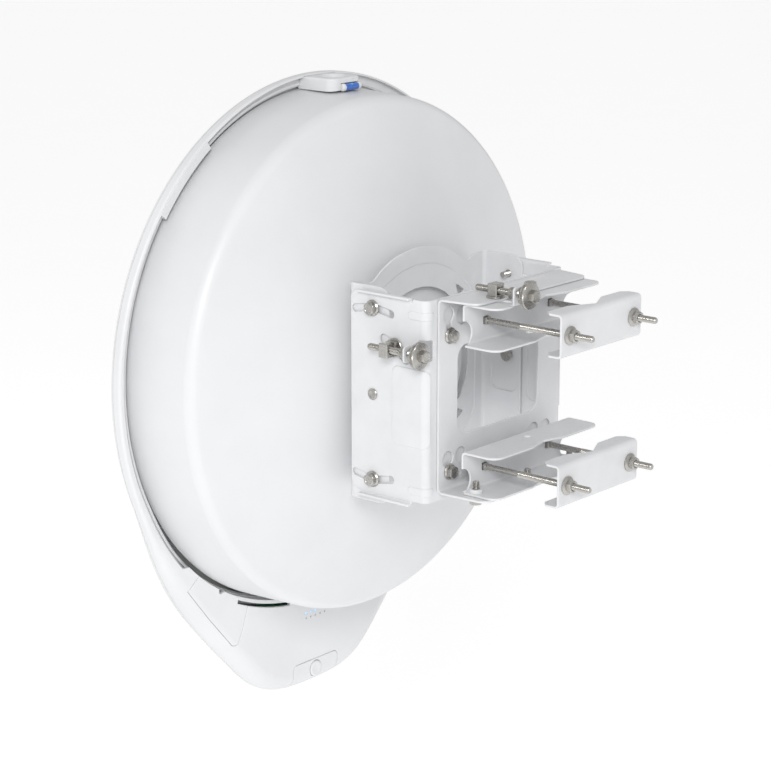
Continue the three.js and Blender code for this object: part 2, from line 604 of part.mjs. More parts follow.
add('azimuth_bracket', 'coat', buildAzimuthBracket());
add('elevation_bracket', 'coat', buildElevationBracket());
add('azimuth_pivot_upper', 'steel', hexBolt(11), [0, azimuthY, azimuthPlate.top], '+z');
add('azimuth_pivot_lower', 'steel', hexBolt(11), [0, azimuthY, azimuthPlate.bottom], '-z');
for (const [sideName, across] of sides) {
  add(`azimuth_lock_bolt_${sideName}`, 'steel', hexBolt(14), [...lockPlace(across), azimuthPlate.bottom], '-z');
}
for (const { x, z, side } of bracketBolts) {
  const name = `bracket_bolt_${z > 0 ? 'upper' : 'lower'}_${side > 0 ? 'right' : 'left'}`;
  add(name, 'steel', hexBolt(12), [x, azimuthPlate.rear, z]);
}

add('dish_bracket', 'coat', buildDishBracket());
for (const [sideName, across] of sides) {
  const facing = across > 0 ? '+x' : '-x';
  const pin = join(rod(3.9, -5.6, 0.6), rod(5, gap, 1.6), rod(6.4, -7, -5));
  add(`elevation_pivot_${sideName}`, 'steel', pin,
    [across * elevationPlate.outer, elevation.y, elevation.z], facing);
  for (const [levelName, up] of levels) {
    add(`elevation_lock_bolt_${levelName}_${sideName}`, 'steel', hexBolt(13),
      [across * elevationPlate.outer, elevation.y, elevation.z + up * elevation.slotRadius], facing);
  }
}
for (const [levelName, up] of levels) {
  for (const [sideName, across] of sides) {
    add(`plate_bolt_${levelName}_${sideName}`, 'steel', hexBolt(16),
      [across * plateBolt.x, dishPlate.rear, elevation.z + up * plateBolt.z]);
  }
}

for (const [adjuster, tab] of [['elevation', elevationTab], ['azimuth', azimuthTab]]) {
  const place = [tab.x, tab.y, tab.z];
  add(`${adjuster}_screw`, 'steel', adjustingScrew(), place);
  add(`${adjuster}_screw_bushing`, 'steel', screwBushing(), place);
  add(`${adjuster}_screw_springs`, 'steel', springWashers(), place);
}

// Trunnions that the two screws pass through. The elevation one is open above its screw.
const elevationTrunnion = cut(join(
  rod(4, -15.2, -8), rod(8.5, -10.2, -8.3), block([-5, -8.5, -6.2], [5, 6.2, 6.2])),
block([-6, -3.3, -3.3], [6, 3.3, 7]));
add('elevation_trunnion', 'steel', elevationTrunnion.rotate([0, 0, -90]),
  [elevationTab.x, elevationTab.y - screw.offset, elevationTab.z]);
const azimuthTrunnion = cut(join(
  prism(disc(0, 0, 4), 'z', -8.3, -4), prism(disc(0, 0, 8), 'z', -6.1, -4.6),
  block([-5.6, -5, -5], [5.6, 5, 6.2])),
block([-3.3, -6, -3.3], [4.5, 6, 3.3]));
add('azimuth_trunnion', 'steel', azimuthTrunnion, [azimuthTab.x, azimuthTab.y - screw.offset, azimuthTab.z]);

add('drum', 'coat', buildDrum());
add('reflector', 'reflector', buildReflector());
add('feed', 'reflector', buildFeed(), [0, 0, drum.z]);
add('rear_housing', 'plastic', buildRearHousing());
add('radome', 'plastic', buildRadome());
add('side_trim_right', 'plastic', buildTrim(1));
add('side_trim_left', 'plastic', buildTrim(-1));
add('port_cover', 'plastic', buildPortCover());
add('release_button', 'plastic', rod(7.6, bezel.rearY - 3.6, bezel.rearY + 1.2, 24),
  [buttonPlace[0], 0, buttonPlace[1]]);
add('status_light_bar', 'liquid', block([-24, -299.2, -272.5], [24, -297.8, -263]));
add('radio_board', 'board', block([-62, -314.4, -300], [62, -312.8, -225]));
add('heat_sink', 'dark', buildHeatSink());
add('ethernet_jack', 'steel', buildJack());
add('alignment_module', 'plastic', buildAlignmentModule());
add('level_vial', 'liquid', cylinderX(3.2, -12.4, 4.4), [0, vial.y, vial.z]);
add('vial_cap_right', 'plastic', cylinderX(3.5, 4.7, 8.3), [0, vial.y, vial.z]);
add('vial_cap_left', 'plastic', cylinderX(3.5, -16.3, -12.7), [0, vial.y, vial.z]);

export default bridge;
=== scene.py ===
# Outdoor wireless bridge: the visible model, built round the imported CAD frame.
# Shapes are worked out in millimetres in the part's own frame: +Z up, the mast at the origin,
# the dish facing -Y.

import json
import math

import bmesh
import bpy
from mathutils import Matrix, Vector
from mathutils.geometry import delaunay_2d_cdt


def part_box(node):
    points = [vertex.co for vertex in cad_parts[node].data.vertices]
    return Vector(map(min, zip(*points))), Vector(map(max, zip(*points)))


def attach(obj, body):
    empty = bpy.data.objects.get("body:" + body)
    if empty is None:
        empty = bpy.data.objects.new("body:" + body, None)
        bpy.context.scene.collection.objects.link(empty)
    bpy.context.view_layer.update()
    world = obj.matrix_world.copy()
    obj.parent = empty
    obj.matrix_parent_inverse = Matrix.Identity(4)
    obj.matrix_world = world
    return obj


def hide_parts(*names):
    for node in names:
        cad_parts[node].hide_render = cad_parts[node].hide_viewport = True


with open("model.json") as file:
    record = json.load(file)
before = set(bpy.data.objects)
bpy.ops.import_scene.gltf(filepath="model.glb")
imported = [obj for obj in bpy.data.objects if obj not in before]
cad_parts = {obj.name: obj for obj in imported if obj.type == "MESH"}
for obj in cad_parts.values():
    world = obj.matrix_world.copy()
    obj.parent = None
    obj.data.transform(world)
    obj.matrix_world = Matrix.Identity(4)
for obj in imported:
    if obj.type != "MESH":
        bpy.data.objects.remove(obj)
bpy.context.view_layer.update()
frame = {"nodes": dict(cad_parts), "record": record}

MM = 0.001
AZIMUTH_Y = -42.0
SIDES = (("right", 1), ("left", -1))
LEVELS = ("upper", "lower")

record = frame["record"]
BODY = {node: body for body, nodes in record["behaviour"]["bodies"].items() for node in nodes}


def box(node):
    """Lowest corner, highest corner and middle of a CAD node, in millimetres."""
    low, high = (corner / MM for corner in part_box(node))
    return low, high, (low + high) / 2


def four(stem):
    """Middles of a set of four pieces: upper right, upper left, lower right, lower left."""
    return [box(f"{stem}_{level}_{side}")[2] for level in LEVELS for side, _ in SIDES]


# ---------------------------------------------------------------- outlines in a plane

ARC_STEP = math.radians(11)


def polar(u, v, radius, degrees):
    angle = math.radians(degrees)
    return (u + radius * math.cos(angle), v + radius * math.sin(angle))


def arc(u, v, radius, start, stop, steps=None):
    """Points along an arc, angles in degrees, both ends included."""
    steps = steps or max(2, round(abs(stop - start) / 9))
    return [polar(u, v, radius, start + (stop - start) * k / steps) for k in range(steps + 1)]


def circle(u, v, radius, steps=40):
    return arc(u, v, radius, 0, 360, steps)[:-1]


def rounded(corners):
    """A closed outline from corners (u, v, fillet radius)."""
    points = []
    for i, (u, v, *fillet) in enumerate(corners):
        here = Vector((u, v))
        if not fillet or fillet[0] == 0:
            points.append((u, v))
            continue
        back = (Vector(corners[i - 1][:2]) - here).normalized()
        ahead = (Vector(corners[(i + 1) % len(corners)][:2]) - here).normalized()
        half = back.angle(ahead) / 2
        reach = fillet[0] / math.tan(half)
        centre = here + (back + ahead).normalized() * fillet[0] / math.sin(half)
        first = here + back * reach - centre
        turn = first.angle_signed(here + ahead * reach - centre)
        steps = max(2, round(abs(turn) / ARC_STEP))
        for k in range(steps + 1):
            spoke = first.copy()
            spoke.rotate(Matrix.Rotation(-turn * k / steps, 2))
            points.append(tuple(centre + spoke))
    return points


def rectangle(u0, v0, u1, v1, fillet=0):
    return rounded([(u0, v0, fillet), (u1, v0, fillet), (u1, v1, fillet), (u0, v1, fillet)])


def arc_slot(u, v, radius, start, stop, width):
    """A slot along an arc, with round ends."""
    half = width / 2
    first, last = polar(u, v, radius, start), polar(u, v, radius, stop)
    return (arc(u, v, radius + half, start, stop) + arc(*last, half, stop, stop + 180)[1:-1]
            + arc(u, v, radius - half, stop, start) + arc(*first, half, start + 180, start + 360)[1:-1])


def area(loop):
    return sum(a[0] * b[1] - b[0] * a[1] for a, b in zip(loop, loop[1:] + loop[:1])) / 2


def directed(loop, anticlockwise):
    return loop if (area(loop) > 0) == anticlockwise else loop[::-1]


def moved_in(loop, distance):
    """The loop with every edge moved to its left by a distance."""
    moved = []
    for before, here, after in zip(loop[-1:] + loop[:-1], loop, loop[1:] + loop[:1]):
        first = (Vector(here) - Vector(before)).normalized()
        second = (Vector(after) - Vector(here)).normalized()
        left = Vector((-first.y - second.y, first.x + second.x))
        scale = distance / max(0.3, 1 + first.dot(second))
        moved.append((here[0] + left.x * scale, here[1] + left.y * scale))
    return moved


def inside(point, loop):
    u, v = point
    crossings = 0
    for (u0, v0), (u1, v1) in zip(loop, loop[1:] + loop[:1]):
        if (v0 > v) != (v1 > v) and u < u0 + (v - v0) * (u1 - u0) / (v1 - v0):
            crossings += 1
    return crossings % 2 == 1


# ---------------------------------------------------------------- closed meshes

def strip(bm, first, second):
    """Faces between two closed rings of vertices with the same count."""
    for i in range(len(first)):
        bm.faces.new((first[i - 1], first[i], second[i], second[i - 1]))


def plate(outline, holes=(), low=0.0, high=1.0, edge=0.5, embosses=(), steps=3):
    """A flat plate in (u, v), from w = low to w = high, with rounded edges.

    An emboss is (outline, height, slope): inside its outline the whole plate is lifted by the height.
    """
    bm = bmesh.new()
    loops = [directed(outline, True)] + [directed(hole, False) for hole in holes]
    turns = [math.radians(90 * k / steps) for k in range(steps, -1, -1)]
    rings = [(edge * (1 - math.cos(turn)), low + edge * (1 - math.sin(turn))) for turn in turns]
    rings += [(edge * (1 - math.cos(turn)), high - edge * (1 - math.sin(turn))) for turn in reversed(turns)]
    raised = [(directed(shape, True), height, slope) for shape, height, slope in embosses]

    def lift(point):
        return sum(height for shape, height, _ in raised if inside(point, shape))

    for loop in loops:
        walls = [[bm.verts.new((u, v, w + lift((u, v)))) for u, v in moved_in(loop, inset)]
                 for inset, w in rings]
        for first, second in zip(walls, walls[1:]):
            strip(bm, first, second)

    cap = [moved_in(loop, edge) for loop in loops]
    points, edges, heights = [], [], []
    for loop in cap:
        edges += [(len(points) + i, len(points) + (i + 1) % len(loop)) for i in range(len(loop))]
        points += loop
        heights += [lift(point) for point in loop]
    for shape, height, slope in raised:
        for k in range(5):
            ring = moved_in(shape, slope * k / 4)
            edges += [(len(points) + i, len(points) + (i + 1) % len(ring)) for i in range(len(ring))]
            points += ring
            heights += [height * (1 - math.cos(math.pi * k / 4)) / 2] * len(ring)
    spots, _, faces, origins, *_ = delaunay_2d_cdt([Vector(p) for p in points], edges, [], 0, 1e-5)
    lifted = [max((heights[i] for i in origin), default=lift(spot)) for spot, origin in zip(spots, origins)]
    for w, facing in ((low, -1), (high, 1)):
        row = [bm.verts.new((spot.x, spot.y, w + rise)) for spot, rise in zip(spots, lifted)]
        for face in faces:
            middle = sum((spots[i] for i in face), Vector((0, 0))) / len(face)
            if inside(middle, cap[0]) and not any(inside(middle, hole) for hole in cap[1:]):
                bm.faces.new([row[i] for i in face[::facing]])
    bmesh.ops.delete(bm, geom=[v for v in bm.verts if not v.link_faces], context="VERTS")
    bmesh.ops.remove_doubles(bm, verts=bm.verts[:], dist=1e-4)
    return bm


def slice_at(bm, direction, places):
    """Adds edges across the mesh where a plane with this normal crosses it."""
    normal = Vector(direction)
    for place in places:
        bmesh.ops.bisect_plane(bm, geom=bm.verts[:] + bm.edges[:] + bm.faces[:], dist=1e-4,
                               plane_co=normal * place, plane_no=normal)


def face_outwards(bm):
    bmesh.ops.recalc_face_normals(bm, faces=bm.faces[:])
    if bm.calc_volume(signed=True) < 0:
        bmesh.ops.reverse_faces(bm, faces=bm.faces[:])
    return bm


def mapped(bm, place):
    """Moves every vertex by a function of its (u, v, w)."""
    for vertex in bm.verts:
        vertex.co = place(*vertex.co)
    return face_outwards(bm)


AXES = {"x": lambda u, v, w: (w, u, v), "y": lambda u, v, w: (u, w, v), "z": lambda u, v, w: (u, v, w)}


def prism(outline, axis, low, high, edge=0.3, holes=()):
    """A plate across one axis; its outline is in the other two, in X, Y, Z order."""
    return mapped(plate(outline, holes, low, high, edge), AXES[axis])


def block(low, high, edge=0.4):
    return prism(rectangle(low[0], low[1], high[0], high[1], 1.6 * edge), "z", low[2], high[2], edge)


FACINGS = {
    "+y": lambda x, y, z: (x, y, z), "-y": lambda x, y, z: (-x, -y, z), "+x": lambda x, y, z: (y, -x, z),
    "-x": lambda x, y, z: (-y, x, z), "+z": lambda x, y, z: (x, -z, y), "-z": lambda x, y, z: (x, z, -y),
}


def placed(bm, position, facing="+y"):
    """Turns a mesh so that its local Y faces a direction, and moves it to a position."""
    turn = FACINGS[facing]
    return mapped(bm, lambda x, y, z: Vector(turn(x, y, z)) + Vector(position))


def turned(rows, segments=48, closed=False):
    """A body turned about local Y from rows (radius, along); a radius may be a function of the angle."""
    bm = bmesh.new()
    rings = []
    for radius, along in rows:
        if radius == 0:
            rings.append([bm.verts.new((0, along, 0))] * segments)
            continue
        ring = []
        for i in range(segments):
            angle = 2 * math.pi * i / segments
            reach = radius(angle) if callable(radius) else radius
            ring.append(bm.verts.new((reach * math.sin(angle), along, reach * math.cos(angle))))
        rings.append(ring)
    pairs = list(zip(rings, rings[1:])) + ([(rings[-1], rings[0])] if closed else [])
    for first, second in pairs:
        for i in range(segments):
            corners = list(dict.fromkeys((first[i - 1], first[i], second[i], second[i - 1])))
            bm.faces.new(corners)
    return face_outwards(bm)


def lathe(rows, place, facing="+y", segments=48, closed=False):
    return placed(turned(rows, segments, closed), place, facing)


def pin(radius, start, stop, place, facing="+y", segments=48):
    """A plain round rod along its own axis."""
    return lathe([(0, start), (radius, start), (radius, stop), (0, stop)], place, facing, segments)


def hexagonal(across, limit=1e9):
    """Radius of a hexagon at an angle, cut by a cone of the given radius."""
    def radius(angle):
        return min(limit, across / 2 / math.cos((angle % (math.pi / 3)) - math.pi / 6))
    return radius


def hex_rows(across, low, high, chamfer=1.0):
    """Rows of a hexagonal prism with a turned chamfer at its high end."""
    corner = across / math.sqrt(3)
    drop = [(corner - chamfer * (k / 5), high - 0.58 * chamfer * (1 - k / 5)) for k in range(6)]
    return ([(hexagonal(across), low), (hexagonal(across), high - 0.6 * chamfer)]
            + [(hexagonal(across, limit), along) for limit, along in drop])


THREAD = {"pitch": 1.0, "depth": 0.52}


def threaded(radius, low, high, taper_low=0.0, taper_high=1.0, columns=20):
    """A helical thread between two places along local Y, tapered to its core at the ends."""
    pitch, depth = THREAD["pitch"], THREAD["depth"]
    crests = (0, 0.35, 1, 0.75)
    core = radius - depth
    rows = int((high - low) / pitch * 4) + 14
    bm = bmesh.new()
    grid = []
    for column in range(columns):
        angle = 2 * math.pi * column / columns
        line = []
        for row in range(rows):
            along = low - 1.5 * pitch + (row / 4 + column / columns) * pitch
            reach = core + depth * crests[row % 4]
            if taper_high:
                reach = min(reach, core - 0.25 + max(0, high - along) / taper_high * (depth + 0.25))
            if taper_low:
                reach = min(reach, core - 0.25 + max(0, along - low) / taper_low * (depth + 0.25))
            line.append(bm.verts.new((reach * math.sin(angle), along, reach * math.cos(angle))))
        grid.append(line)
    for column in range(columns):
        first, second = grid[column], grid[(column + 1) % columns]
        shift = 4 if column == columns - 1 else 0
        for row in range(rows - 1 - shift):
            bm.faces.new((first[row], second[row + shift], second[row + 1 + shift], first[row + 1]))
    for along, side in ((low, -1), (high, 1)):
        geometry = bm.verts[:] + bm.edges[:] + bm.faces[:]
        bmesh.ops.bisect_plane(bm, geom=geometry, dist=1e-5, plane_co=(0, along, 0),
                               plane_no=(0, side, 0), clear_outer=True)
    bmesh.ops.holes_fill(bm, edges=bm.edges[:], sides=0)
    return face_outwards(bm)


# ---------------------------------------------------------------- objects

def to_object(bm, name):
    bmesh.ops.scale(bm, vec=(MM, MM, MM), verts=bm.verts[:])
    mesh = bpy.data.meshes.new(name)
    bm.to_mesh(mesh)
    bm.free()
    piece = bpy.data.objects.new(name, mesh)
    bpy.context.scene.collection.objects.link(piece)
    return piece


def combine(whole, operation, *tools):
    """Joins or cuts closed meshes; every tool is used up."""
    for tool in tools:
        helper = to_object(tool, "tool") if isinstance(tool, bmesh.types.BMesh) else tool
        step = whole.modifiers.new("combine", "BOOLEAN")
        step.operation = operation
        step.solver = "MANIFOLD"
        step.object = helper
        result = bpy.data.meshes.new_from_object(whole.evaluated_get(bpy.context.evaluated_depsgraph_get()))
        whole.modifiers.clear()
        if not result.polygons:
            raise RuntimeError(f"{operation} on {whole.name} left nothing")
        whole.data = result
        bpy.data.objects.remove(helper)
    return whole


def join(whole, *tools):
    return combine(whole, "UNION", *tools)


def cut(whole, *tools):
    return combine(whole, "DIFFERENCE", *tools)


def body(bm):
    return to_object(bm, "part") if isinstance(bm, bmesh.types.BMesh) else bm


def show(shape, node, material, name=None, sharp=45, replaces=True):
    """Finishes a piece that stands for a CAD node, on that node's body and in its material slot."""
    piece = body(shape)
    piece.name = name or f"fine_{node}"
    piece.data.name = piece.name
    piece.data.materials.clear()
    piece.data.materials.append(material)
    piece.data.polygons.foreach_set("use_smooth", [True] * len(piece.data.polygons))
    piece.data.set_sharp_from_angle(angle=math.radians(sharp))
    even = piece.modifiers.new("even_normals", "WEIGHTED_NORMAL")
    even.keep_sharp = True
    even.weight = 100
    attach(piece, BODY[node])
    if replaces:
        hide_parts(node)
    return piece


# ---------------------------------------------------------------- materials

def new_material(name, base, roughness, metallic=0.0):
    material = bpy.data.materials.new(name)
    material.use_nodes = True
    shader = material.node_tree.nodes["Principled BSDF"]
    shader.inputs["Base Color"].default_value = (*base, 1)
    shader.inputs["Roughness"].default_value = roughness
    shader.inputs["Metallic"].default_value = metallic
    return material, shader


def shader_node(material, kind, **inputs):
    item = material.node_tree.nodes.new(kind)
    for key, value in inputs.items():
        item.inputs[key.replace("_", " ")].default_value = value
    return item


def link(material, source, target):
    material.node_tree.links.new(source, target)


def noise(material, scale, detail=3.0, stretch=(1, 1, 1)):
    """Noise over the part's own coordinates; the scale is in cells per metre."""
    coordinates = shader_node(material, "ShaderNodeTexCoord")
    mapping = shader_node(material, "ShaderNodeMapping", Scale=stretch)
    texture = shader_node(material, "ShaderNodeTexNoise", Scale=scale, Detail=detail, Roughness=0.55)
    link(material, coordinates.outputs["Object"], mapping.inputs["Vector"])
    link(material, mapping.outputs["Vector"], texture.inputs["Vector"])
    return texture.outputs["Fac"]


def ramp(material, source, low, high):
    """Blends two colours by a source; a number stands for a grey."""
    blend = shader_node(material, "ShaderNodeValToRGB")
    for element, place, value in zip(blend.color_ramp.elements, (0.3, 0.7), (low, high)):
        element.position = place
        element.color = (value, value, value, 1) if isinstance(value, float) else (*value, 1)
    link(material, source, blend.inputs["Fac"])
    return blend.outputs["Color"]


def bump(material, shader, *layers):
    """Adds bump layers (height source, distance in metres)."""
    previous = None
    for height, distance in layers:
        layer = shader_node(material, "ShaderNodeBump", Strength=1.0, Distance=distance)
        link(material, height, layer.inputs["Height"])
        if previous:
            link(material, previous, layer.inputs["Normal"])
        previous = layer.outputs["Normal"]
    link(material, previous, shader.inputs["Normal"])


def uneven_roughness(material, shader, grain, low, high):
    link(material, ramp(material, noise(material, *grain), low, high), shader.inputs["Roughness"])


def finish(name, base, roughness, colours, patches, roughs, grain, bumps=(), metallic=0.0, coat=0.0):
    """A material whose colour and roughness drift between two values; patches, grain and bumps are noises."""
    material, shader = new_material(name, base, roughness, metallic)
    shader.inputs["Coat Weight"].default_value = coat
    link(material, ramp(material, noise(material, *patches), *colours), shader.inputs["Base Color"])
    uneven_roughness(material, shader, grain, *roughs)
    if bumps:
        bump(material, shader, *[(noise(material, *cells), depth) for depth, *cells in bumps])
    return material


def plastic(name, dark, light, rough):
    return finish(name, light, rough, (dark, light), (14, 4), (rough - 0.04, rough + 0.05), (240, 3),
                  ((0.000012, 2600, 2), (0.0002, 9, 2)))


def spun_aluminium():
    material, shader = new_material("spun_aluminium", (0.78, 0.79, 0.80), 0.32, 1.0)
    coordinates = shader_node(material, "ShaderNodeTexCoord")
    rings = shader_node(material, "ShaderNodeTexWave", Scale=220, Distortion=0.6, Detail=2)
    rings.wave_type = "RINGS"
    rings.rings_direction = "Y"
    link(material, coordinates.outputs["Object"], rings.inputs["Vector"])
    link(material, ramp(material, rings.outputs["Fac"], (0.70, 0.71, 0.73), (0.80, 0.81, 0.82)),
         shader.inputs["Base Color"])
    uneven_roughness(material, shader, (300, 3), 0.26, 0.38)
    bump(material, shader, (rings.outputs["Fac"], 0.00003))
    return material


def circuit_board():
    material, shader = new_material("circuit_board", (0.03, 0.22, 0.10), 0.4)
    coordinates = shader_node(material, "ShaderNodeTexCoord")
    turn = shader_node(material, "ShaderNodeMapping", Rotation=(math.pi / 2, 0, 0))
    tracks = shader_node(material, "ShaderNodeTexBrick", Scale=150, Mortar_Size=0.03,
                         Color1=(0.03, 0.20, 0.09, 1), Color2=(0.04, 0.26, 0.12, 1),
                         Mortar=(0.10, 0.40, 0.18, 1))
    link(material, coordinates.outputs["Object"], turn.inputs["Vector"])
    link(material, turn.outputs["Vector"], tracks.inputs["Vector"])
    link(material, tracks.outputs["Color"], shader.inputs["Base Color"])
    uneven_roughness(material, shader, (400, 2), 0.3, 0.5)
    bump(material, shader, (tracks.outputs["Fac"], 0.00004))
    return material


def liquid(name, deep, bright):
    return finish(name, deep, 0.08, (deep, bright), (420, 2, (1, 1, 3)), (0.04, 0.12), (900, 2), coat=1.0)


def status_light(name, colour, glow):
    dim = tuple(0.8 * channel for channel in colour)
    material = finish(name, colour, 0.3, (dim, colour), (1500, 2), (0.25, 0.4), (700, 2))
    shader = material.node_tree.nodes["Principled BSDF"]
    shader.inputs["Emission Color"].default_value = (*colour, 1)
    shader.inputs["Emission Strength"].default_value = glow
    return material


COAT = finish("powder_coat", (0.69, 0.695, 0.705), 0.4, ((0.66, 0.665, 0.68), (0.71, 0.715, 0.725)), (28, 4),
              (0.36, 0.46), (160, 3), ((0.00003, 1100, 2),))
DRUM_COAT = plastic("drum_coat", (0.68, 0.686, 0.70), (0.71, 0.716, 0.725), 0.42)
PLASTIC = plastic("white_plastic", (0.69, 0.695, 0.705), (0.72, 0.725, 0.733), 0.40)
STEEL = finish("stainless_steel", (0.45, 0.435, 0.41), 0.3, ((0.44, 0.427, 0.40), (0.50, 0.486, 0.46)),
               (90, 4), (0.24, 0.33), (420, 3), ((0.000003, 900, 2, (0.15, 3, 1)),), metallic=1.0)
SPUN = spun_aluminium()
CAST = finish("cast_aluminium", (0.42, 0.43, 0.45), 0.55, ((0.33, 0.34, 0.36), (0.46, 0.47, 0.49)), (350, 5),
              (0.48, 0.66), (500, 3), ((0.00008, 1400, 4),), metallic=0.9)
BOARD = circuit_board()
LIQUID = liquid("level_liquid", (0.012, 0.09, 0.42), (0.02, 0.16, 0.62))
BUBBLE = liquid("level_bubble", (0.05, 0.33, 0.75), (0.10, 0.45, 0.85))
LIT = status_light("status_light_on", (0.10, 0.38, 1.0), 2.2)
UNLIT = status_light("status_light_off", (0.46, 0.47, 0.49), 0.0)


# ---------------------------------------------------------------- fasteners, along local Y

# Radii, the width across flats, the heights of head and nut, and the gap under a head.
M6 = {"thread": 2.95, "shank": 2.7, "hole": 3.4, "flange": 7.1, "across": 10, "head": 6.4, "nut": 7.4,
      "gap": 0.3}


def flange_rows(reach):
    """Underside, rim and top of a pressed flange, ready for hexagon rows above it."""
    return [(reach - 0.25, 0.3), (reach, 0.5), (reach, 1.2), (reach - 0.25, 1.5), (5.95, 2.4)]


def hex_bolt_mesh(length):
    head = body(turned([(0, -1.5), (2.4, -1.5), (2.4, M6["gap"])] + flange_rows(M6["flange"])
                       + hex_rows(M6["across"], 2.5, M6["head"])
                       + [(3.7, M6["head"]), (3.4, M6["head"] - 0.25), (0, M6["head"] - 0.25)], 72))
    return join(head, threaded(M6["thread"], -length, -1, taper_high=0, taper_low=0.9))


def along_facing(node, facing, height):
    """Where the seat of a fastener is, from its CAD box, and how far it reaches behind the seat."""
    low, high, middle = box(node)
    axis = "xyz".index(facing[1])
    sign = 1 if facing[0] == "+" else -1
    tip = high[axis] if sign > 0 else low[axis]
    seat = middle.copy()
    seat[axis] = tip - sign * height
    return seat, high[axis] - low[axis] - height


def add_hex_bolt(node, facing):
    seat, length = along_facing(node, facing, M6["head"])
    bolt = hex_bolt_mesh(length)
    for vertex in bolt.data.vertices:
        vertex.co = Vector(FACINGS[facing](*vertex.co)) + seat * MM
    show(bolt, node, STEEL, sharp=32)


def add_nut(node):
    high = M6["nut"]
    seat, _ = along_facing(node, "+y", high)
    rows = [(3.2, 0.3)] + flange_rows(8) + hex_rows(M6["across"], 2.6, high)
    rows += [(4.0, high), (3.2, high - 0.7)]
    show(lathe(rows, seat, segments=72, closed=True), node, STEEL, sharp=32)


def add_mast_bolt(node):
    low, high, middle = box(node)
    head = low.y
    neck_end, thread_start = head + 8.9, head + 41.9
    dome = [(0, head), (2.4, head + 0.1), (4.4, head + 0.5), (6.1, head + 1.5), (6.9, head + 2.7),
            (7, head + 3.2), (6.8, head + 3.6), (2.4, head + 3.6), (2.4, head + 6), (0, head + 6)]
    bolt = body(turned(dome, 64))
    join(bolt, prism(rectangle(-3, -3, 3, 3, 0.7), "y", head + 3, neck_end, 0.4),
         turned([(0, head + 7), (2.5, head + 7), (M6["shank"], head + 9), (M6["shank"], thread_start),
                 (2.3, thread_start + 1.2), (0, thread_start + 1.2)]),
         threaded(M6["thread"], thread_start, high.y, taper_low=1.4, taper_high=1.1))
    bolt.data.transform(Matrix.Translation(Vector((middle.x, 0, middle.z)) * MM))
    show(bolt, node, STEEL, sharp=32)


def knurled(radius, depth, teeth):
    def reach(angle):
        phase = (angle * teeth / (2 * math.pi)) % 1
        return radius - depth * abs(2 * phase - 1)
    return reach


def add_adjuster(name):
    """Adjusting screw with its knob, the bushing behind the tab and the washers in front of it."""
    _, high, middle = box(f"{name}_screw")
    origin = Vector((middle.x, high.y - 20, middle.z))
    grip = knurled(11.75, 0.45, 60)
    knob = body(turned([(0, 6.9), (6.1, 6.9), (6.4, 7.2), (6.4, 8.6), (6.0, 9.0), (10.6, 9.0), (11.2, 9.3),
                        (grip, 9.7), (grip, 11.2), (10.9, 11.5), (10.9, 11.9), (grip, 12.2), (grip, 13.3),
                        (11.1, 13.8), (8.4, 14.3), (6.2, 14.9), (0, 14.9)], 240))
    join(knob, turned([(0, 13), (5.77, 13)] + hex_rows(M6["across"], 13.2, 20, 1.3)
                      + [(3.6, 20), (3.3, 19.7), (0, 19.7)], 72),
         threaded(M6["thread"], -44, 8, taper_low=1.2, taper_high=0))
    knob.data.transform(Matrix.Translation(origin * MM))
    show(knob, f"{name}_screw", STEEL, sharp=28)
    grooves = [(3.3, -7.5), (4.5, -7.5), (4.9, -7.1), (4.9, -6.3), (4.5, -6.1), (4.5, -5.7), (4.9, -5.5),
               (4.9, -4.7), (4.5, -4.5), (4.5, -4.1), (4.9, -3.9), (4.9, -3.2), (4.0, -2.5), (3.3, -2.5)]
    show(lathe(grooves, origin, segments=64, closed=True), f"{name}_screw_bushing", STEEL, sharp=28)
    washers = [(3.3, 2.5), (3.9, 2.5), (6.4, 3.5), (6.6, 3.7), (6.4, 4.0), (5.2, 4.3), (6.4, 4.5), (6.6, 4.8),
               (6.4, 5.1), (5.2, 5.3), (6.2, 5.6), (6.3, 5.9), (5.6, 6.5), (3.3, 6.5)]
    show(lathe(washers, origin, segments=64, closed=True), f"{name}_screw_springs", STEEL, sharp=28)


def add_trunnion(name, centre, below, above, opening, stud):
    """A nut block round its centre, from one reach to the other, with an opening for the screw and a stud."""
    cube = body(block(centre - Vector(below), centre + Vector(above), 0.8))
    left, bottom, right, top, fillet = opening
    hole = rectangle(centre.x - left, centre.z - bottom, centre.x + right, centre.z + top, fillet)
    cut(cube, prism(hole, "y", centre.y - 8, centre.y + 8, 0))
    show(join(cube, stud), name, STEEL, sharp=28)


def add_trunnions():
    low, high, middle = box("elevation_trunnion")
    centre = Vector((high.x - 6.2, middle.y, low.z + 8.5))
    stud = lathe([(0, 0), (3.6, 0), (4, 0.4), (4, 5.4), (8.3, 5.4), (8.5, 5.6), (8.5, 6.6), (8.1, 7),
                  (4.5, 7), (4.5, 7.6), (0, 7.6)], centre - Vector((15.2, 0, 0)), "+x", 64)
    add_trunnion("elevation_trunnion", centre, (8.5, 5, 6.2), (6.2, 5, 6.2), (3.3, 3.3, 3.3, 9, 0.8), stud)
    _, high, middle = box("azimuth_trunnion")
    centre = Vector((middle.x, middle.y, high.z - 6.2))
    stud = lathe([(0, -8.3), (3.7, -8.3), (4, -8), (4, -6.1), (7.7, -6.1), (8, -5.8), (8, -4.9), (7.7, -4.6),
                  (4.4, -4.6), (4.4, -4.2), (0, -4.2)], centre, "+z", 64)
    add_trunnion("azimuth_trunnion", centre, (5.6, 5, 5), (5.6, 5, 6.2), (3.3, 3.3, 4.5, 3.3, 1.2), stud)


